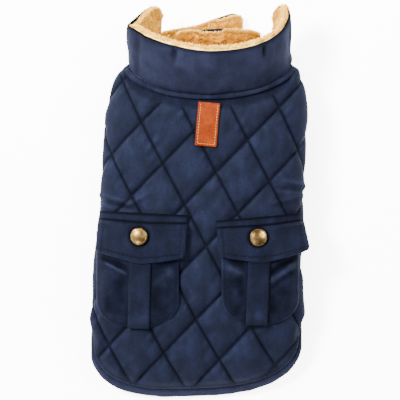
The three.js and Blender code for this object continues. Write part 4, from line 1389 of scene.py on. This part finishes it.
def make_label():
    wide, length, thick = LABEL["width"], LABEL["length"], LABEL["thick"]
    corner, border_in, bow = LABEL_EDGE["corner"], LABEL_EDGE["border"], LABEL_EDGE["bow"]
    u, v = np.meshgrid(*steps("label"))
    to_end = (1 - v) * length
    edge = np.minimum(np.minimum(u, 1 - u) * wide, to_end)
    rounded = np.sqrt(clamped(edge / 0.8))
    border_line = bell(edge - border_in, 0.35)
    bend = 1 - np.sqrt(clamped(1 - (1 - to_end / corner) ** 2))
    inset = np.where(to_end < corner, bend * corner, 0)
    u2 = 0.5 + (u - 0.5) * (1 - 2 * inset / wide)
    curve = bow * np.sin(v * 3.0) + 0.1 * noise(u * 3, v * 5, 101)
    outer = on_back(*on_label(u2, v, thick * (0.55 + 0.45 * rounded) - 0.18 * border_line + curve * rounded))
    inner = on_back(*on_label(u2, v, 0.0))
    tone = 0.95 + 0.05 * noise(u * 6, v * 12, 102) - 0.3 * border_line - 0.5 * (1 - rounded)
    tag = closed_shell("label_leather", outer, inner, LEATHER, "leather", tone)
    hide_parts("label")
    side, end = border_in / wide, 1 - border_in / length
    lines = []
    for us, vs in (
        (np.full(60, side), fine(59, 0.03, end)),
        (fine(40, side, 1 - side), np.full(41, end)),
        (np.full(60, 1 - side), fine(59, end, 0.03)),
    ):
        lines.append(stitch_path(*on_label(us, vs, thick + bow * np.sin(vs * 3.0) - 0.05), 0.0))
    made = stitch_runs(lines, LABEL_STITCH["pitch"], LABEL_STITCH["length"])
    capsules("label_stitches", *made, LABEL_STITCH["radius"], TAN_THREAD, "leather")


# Pile: short curled tufts that stand out of the fleece


def tufts(name, roots, normals, length, seed, shade):
    """Small bent cones, one at each root, each as light as its shade, and darker towards the root, a painted
    shade.
    """
    rng = np.random.default_rng(seed)
    n = len(roots)
    lean = unit(rng.normal(size=(n, 3)))
    side = unit(np.cross(normals, lean))
    tall = length * (0.7 + 0.6 * rng.random((n, 1)))
    wide = 0.42 + 0.2 * rng.random((n, 1))
    bend = unit(normals + lean * 0.9)
    third = np.cross(normals, side)
    points = np.empty((n, 7, 3))
    for k, (centre, share) in enumerate([(roots - normals * 0.4, 1.0), (roots + bend * tall * 0.5, 0.7)]):
        for j in range(3):
            a = 2 * math.pi * j / 3
            points[:, k * 3 + j] = centre + (side * math.cos(a) + third * math.sin(a)) * wide * share
    points[:, 6] = roots + bend * tall * 0.6 + lean * tall * 0.5
    base = np.arange(n) * 7
    walls, tips = [], [np.stack([base + 2, base + 1, base], -1)]
    for j in range(3):
        a, b = j, (j + 1) % 3
        walls.append(np.stack([base + a, base + b, base + b + 3, base + a + 3], -1))
        tips.append(np.stack([base + a + 3, base + b + 3, base + 6], -1))
    faces = np.concatenate(walls).tolist() + np.concatenate(tips).tolist()
    shade = shade[:, None] + rng.uniform(-0.22, 0.16, (n, 1))
    # Painted shade: each tuft's root ring is 0.6 and its middle ring 0.85 as light as its tip.
    tone = (shade * np.array([[0.6] * 3 + [0.85] * 3 + [1.0]])).ravel()
    build(name, points.reshape(-1, 3), faces, FLEECE_PILE, "fleece", tone)


def collar_tufts():
    rng = np.random.default_rng(201)
    count = PILE["collar_tufts"]
    a = rng.uniform(COLLAR[0][0] + 1, COLLAR[-1][0] - 1, count)
    h = pile_top(a) - 0.01 - rng.random(count) ** 1.5
    p = on_collar(a, h, -CLOTH - 0.3 - collar_pile_thick(h) * 0.9)
    up = unit(on_collar(a, h + 0.01, 0) - on_collar(a, h - 0.01, 0))
    inward = -collar_normal(a, h)
    rim = rng.random(count) < 0.22
    h_rim = pile_top(a) - 0.01
    p = np.where(rim[:, None], on_collar(a, h_rim, -CLOTH - 0.6 - rng.random(count) * 3.6), p)
    inward = np.where(rim[:, None], unit(up + inward * 0.2), inward)
    # Painted shade lower inside the collar: the tufts get lighter towards the top, and the rim's tufts get
    # 0.86.
    shade = np.where(rim, 0.86, 0.92 + 0.14 * ease(0.45, 0.9, h))
    tufts("collar_pile", p, inward, PILE["collar_long"], 202, shade)


def flap_tufts(name, rows, base, room, seed, bare, depth):
    rng = np.random.default_rng(seed)
    count = PILE["flap_tufts"]
    keys = table(STRIP_KEYS, rows)
    u = rng.uniform(0.2, len(rows) - 1.05, count)
    v = rng.random(count) ** 1.6
    p = strip_place(keys, bare, base, 0.01, room, u, v, np.full(count, LINING - 0.2))
    up = np.tile([0.0, 0.0, 1.0], (count, 1))
    front = v < 0.05
    up[front] = unit(np.array([0, 0.9, 0.5]))
    # Painted shade under the collar darkens the tufts towards the neck.
    tufts(name, p, up, PILE["flap_long"], seed + 1, 0.92 - painted_pile_shade(v, depth))


# The coat

make_quilting()
make_lining()
quilt_stitches()
make_binding()
make_collar()
make_collar_fleece()
make_neckband()
CHEST_FLAPS = (("left", LEFT_FLAP, 211), ("right", RIGHT_FLAP, 221))
ON_CLOTH = CLOTH + 2 * GAP
for side, rows, _ in CHEST_FLAPS:
    node, room = f"chest_flap_{side}", SEAM_ROOM["chest"]
    make_strip(f"{node}_cloth", node, rows, CLOTH, 0, room, VELOUR, "velour", None, 0)
    fleece = (LINING, ON_CLOTH, room, FLEECE_PILE, "fleece", BARE[side], SHADE_UNDER_COLLAR[side])
    make_strip(f"{node}_lining_cloth", f"{node}_lining", rows, *fleece)
for side, rows in (("left", LEFT_BAND), ("right", RIGHT_BAND)):
    node = f"belly_band_{side}"
    make_strip(f"{node}_cloth", node, rows, BAND_THICK, 0, SEAM_ROOM["band"], VELOUR, "velour", None, 0)
for side, spec in POCKETS.items():
    make_pocket(side, spec)
make_label()
collar_tufts()
for side, rows, seed in CHEST_FLAPS:
    name, room = f"chest_flap_{side}_pile", SEAM_ROOM["chest"]
    flap_tufts(name, rows, ON_CLOTH, room, seed, BARE[side], SHADE_UNDER_COLLAR[side])

# Stage, light and camera


def make_stage():
    bpy.ops.mesh.primitive_plane_add(size=6, location=(0, 0, -0.0002))
    floor = bpy.context.object
    floor.name = "floor"
    material, _, shader = node_tree("floor_white")
    shader.inputs["Base Color"].default_value = (0.94, 0.94, 0.94, 1)
    shader.inputs["Roughness"].default_value = 0.9
    shader.inputs["Emission Color"].default_value = (1, 1, 1, 1)
    shader.inputs["Emission Strength"].default_value = FLOOR_GLOW
    floor.data.materials.append(material)
    floor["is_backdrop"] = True


def area_light(name, place, size, power, colour):
    data = bpy.data.lights.new(name, "AREA")
    data.shape = "DISK"
    data.size = size
    data.energy = power
    data.color = colour
    lamp = bpy.data.objects.new(name, data)
    lamp.location = place
    bpy.context.collection.objects.link(lamp)
    direction = -lamp.location.normalized()
    lamp.rotation_euler = direction.to_track_quat("-Z", "Y").to_euler()


def make_camera():
    data = bpy.data.cameras.new("camera")
    away = PHOTO["lens_away"]
    across = PHOTO["across"] * PHOTO["mm_per_pixel"] * MM
    data.sensor_width = PHOTO["sensor"]
    data.lens = PHOTO["sensor"] * (away - CAMERA["true_size_at"]) / across
    data.clip_end = 20
    camera = bpy.data.objects.new("camera", data)
    camera.location = (CAMERA["x"], CAMERA["y"], away)
    bpy.context.collection.objects.link(camera)
    bpy.context.scene.camera = camera


def make_world():
    world = bpy.data.worlds.new("studio")
    world.use_nodes = True
    background = world.node_tree.nodes["Background"]
    background.inputs["Color"].default_value = WORLD["colour"]
    background.inputs["Strength"].default_value = WORLD["strength"]
    bpy.context.scene.world = world


make_stage()
for light in LIGHTS:
    area_light(*light)
make_world()
make_camera()

visual_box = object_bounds()
plain = lambda box: [[round(float(v), 5) for v in corner] for corner in box]
{"cad": plain(cad_box), "visual": plain(visual_box)}
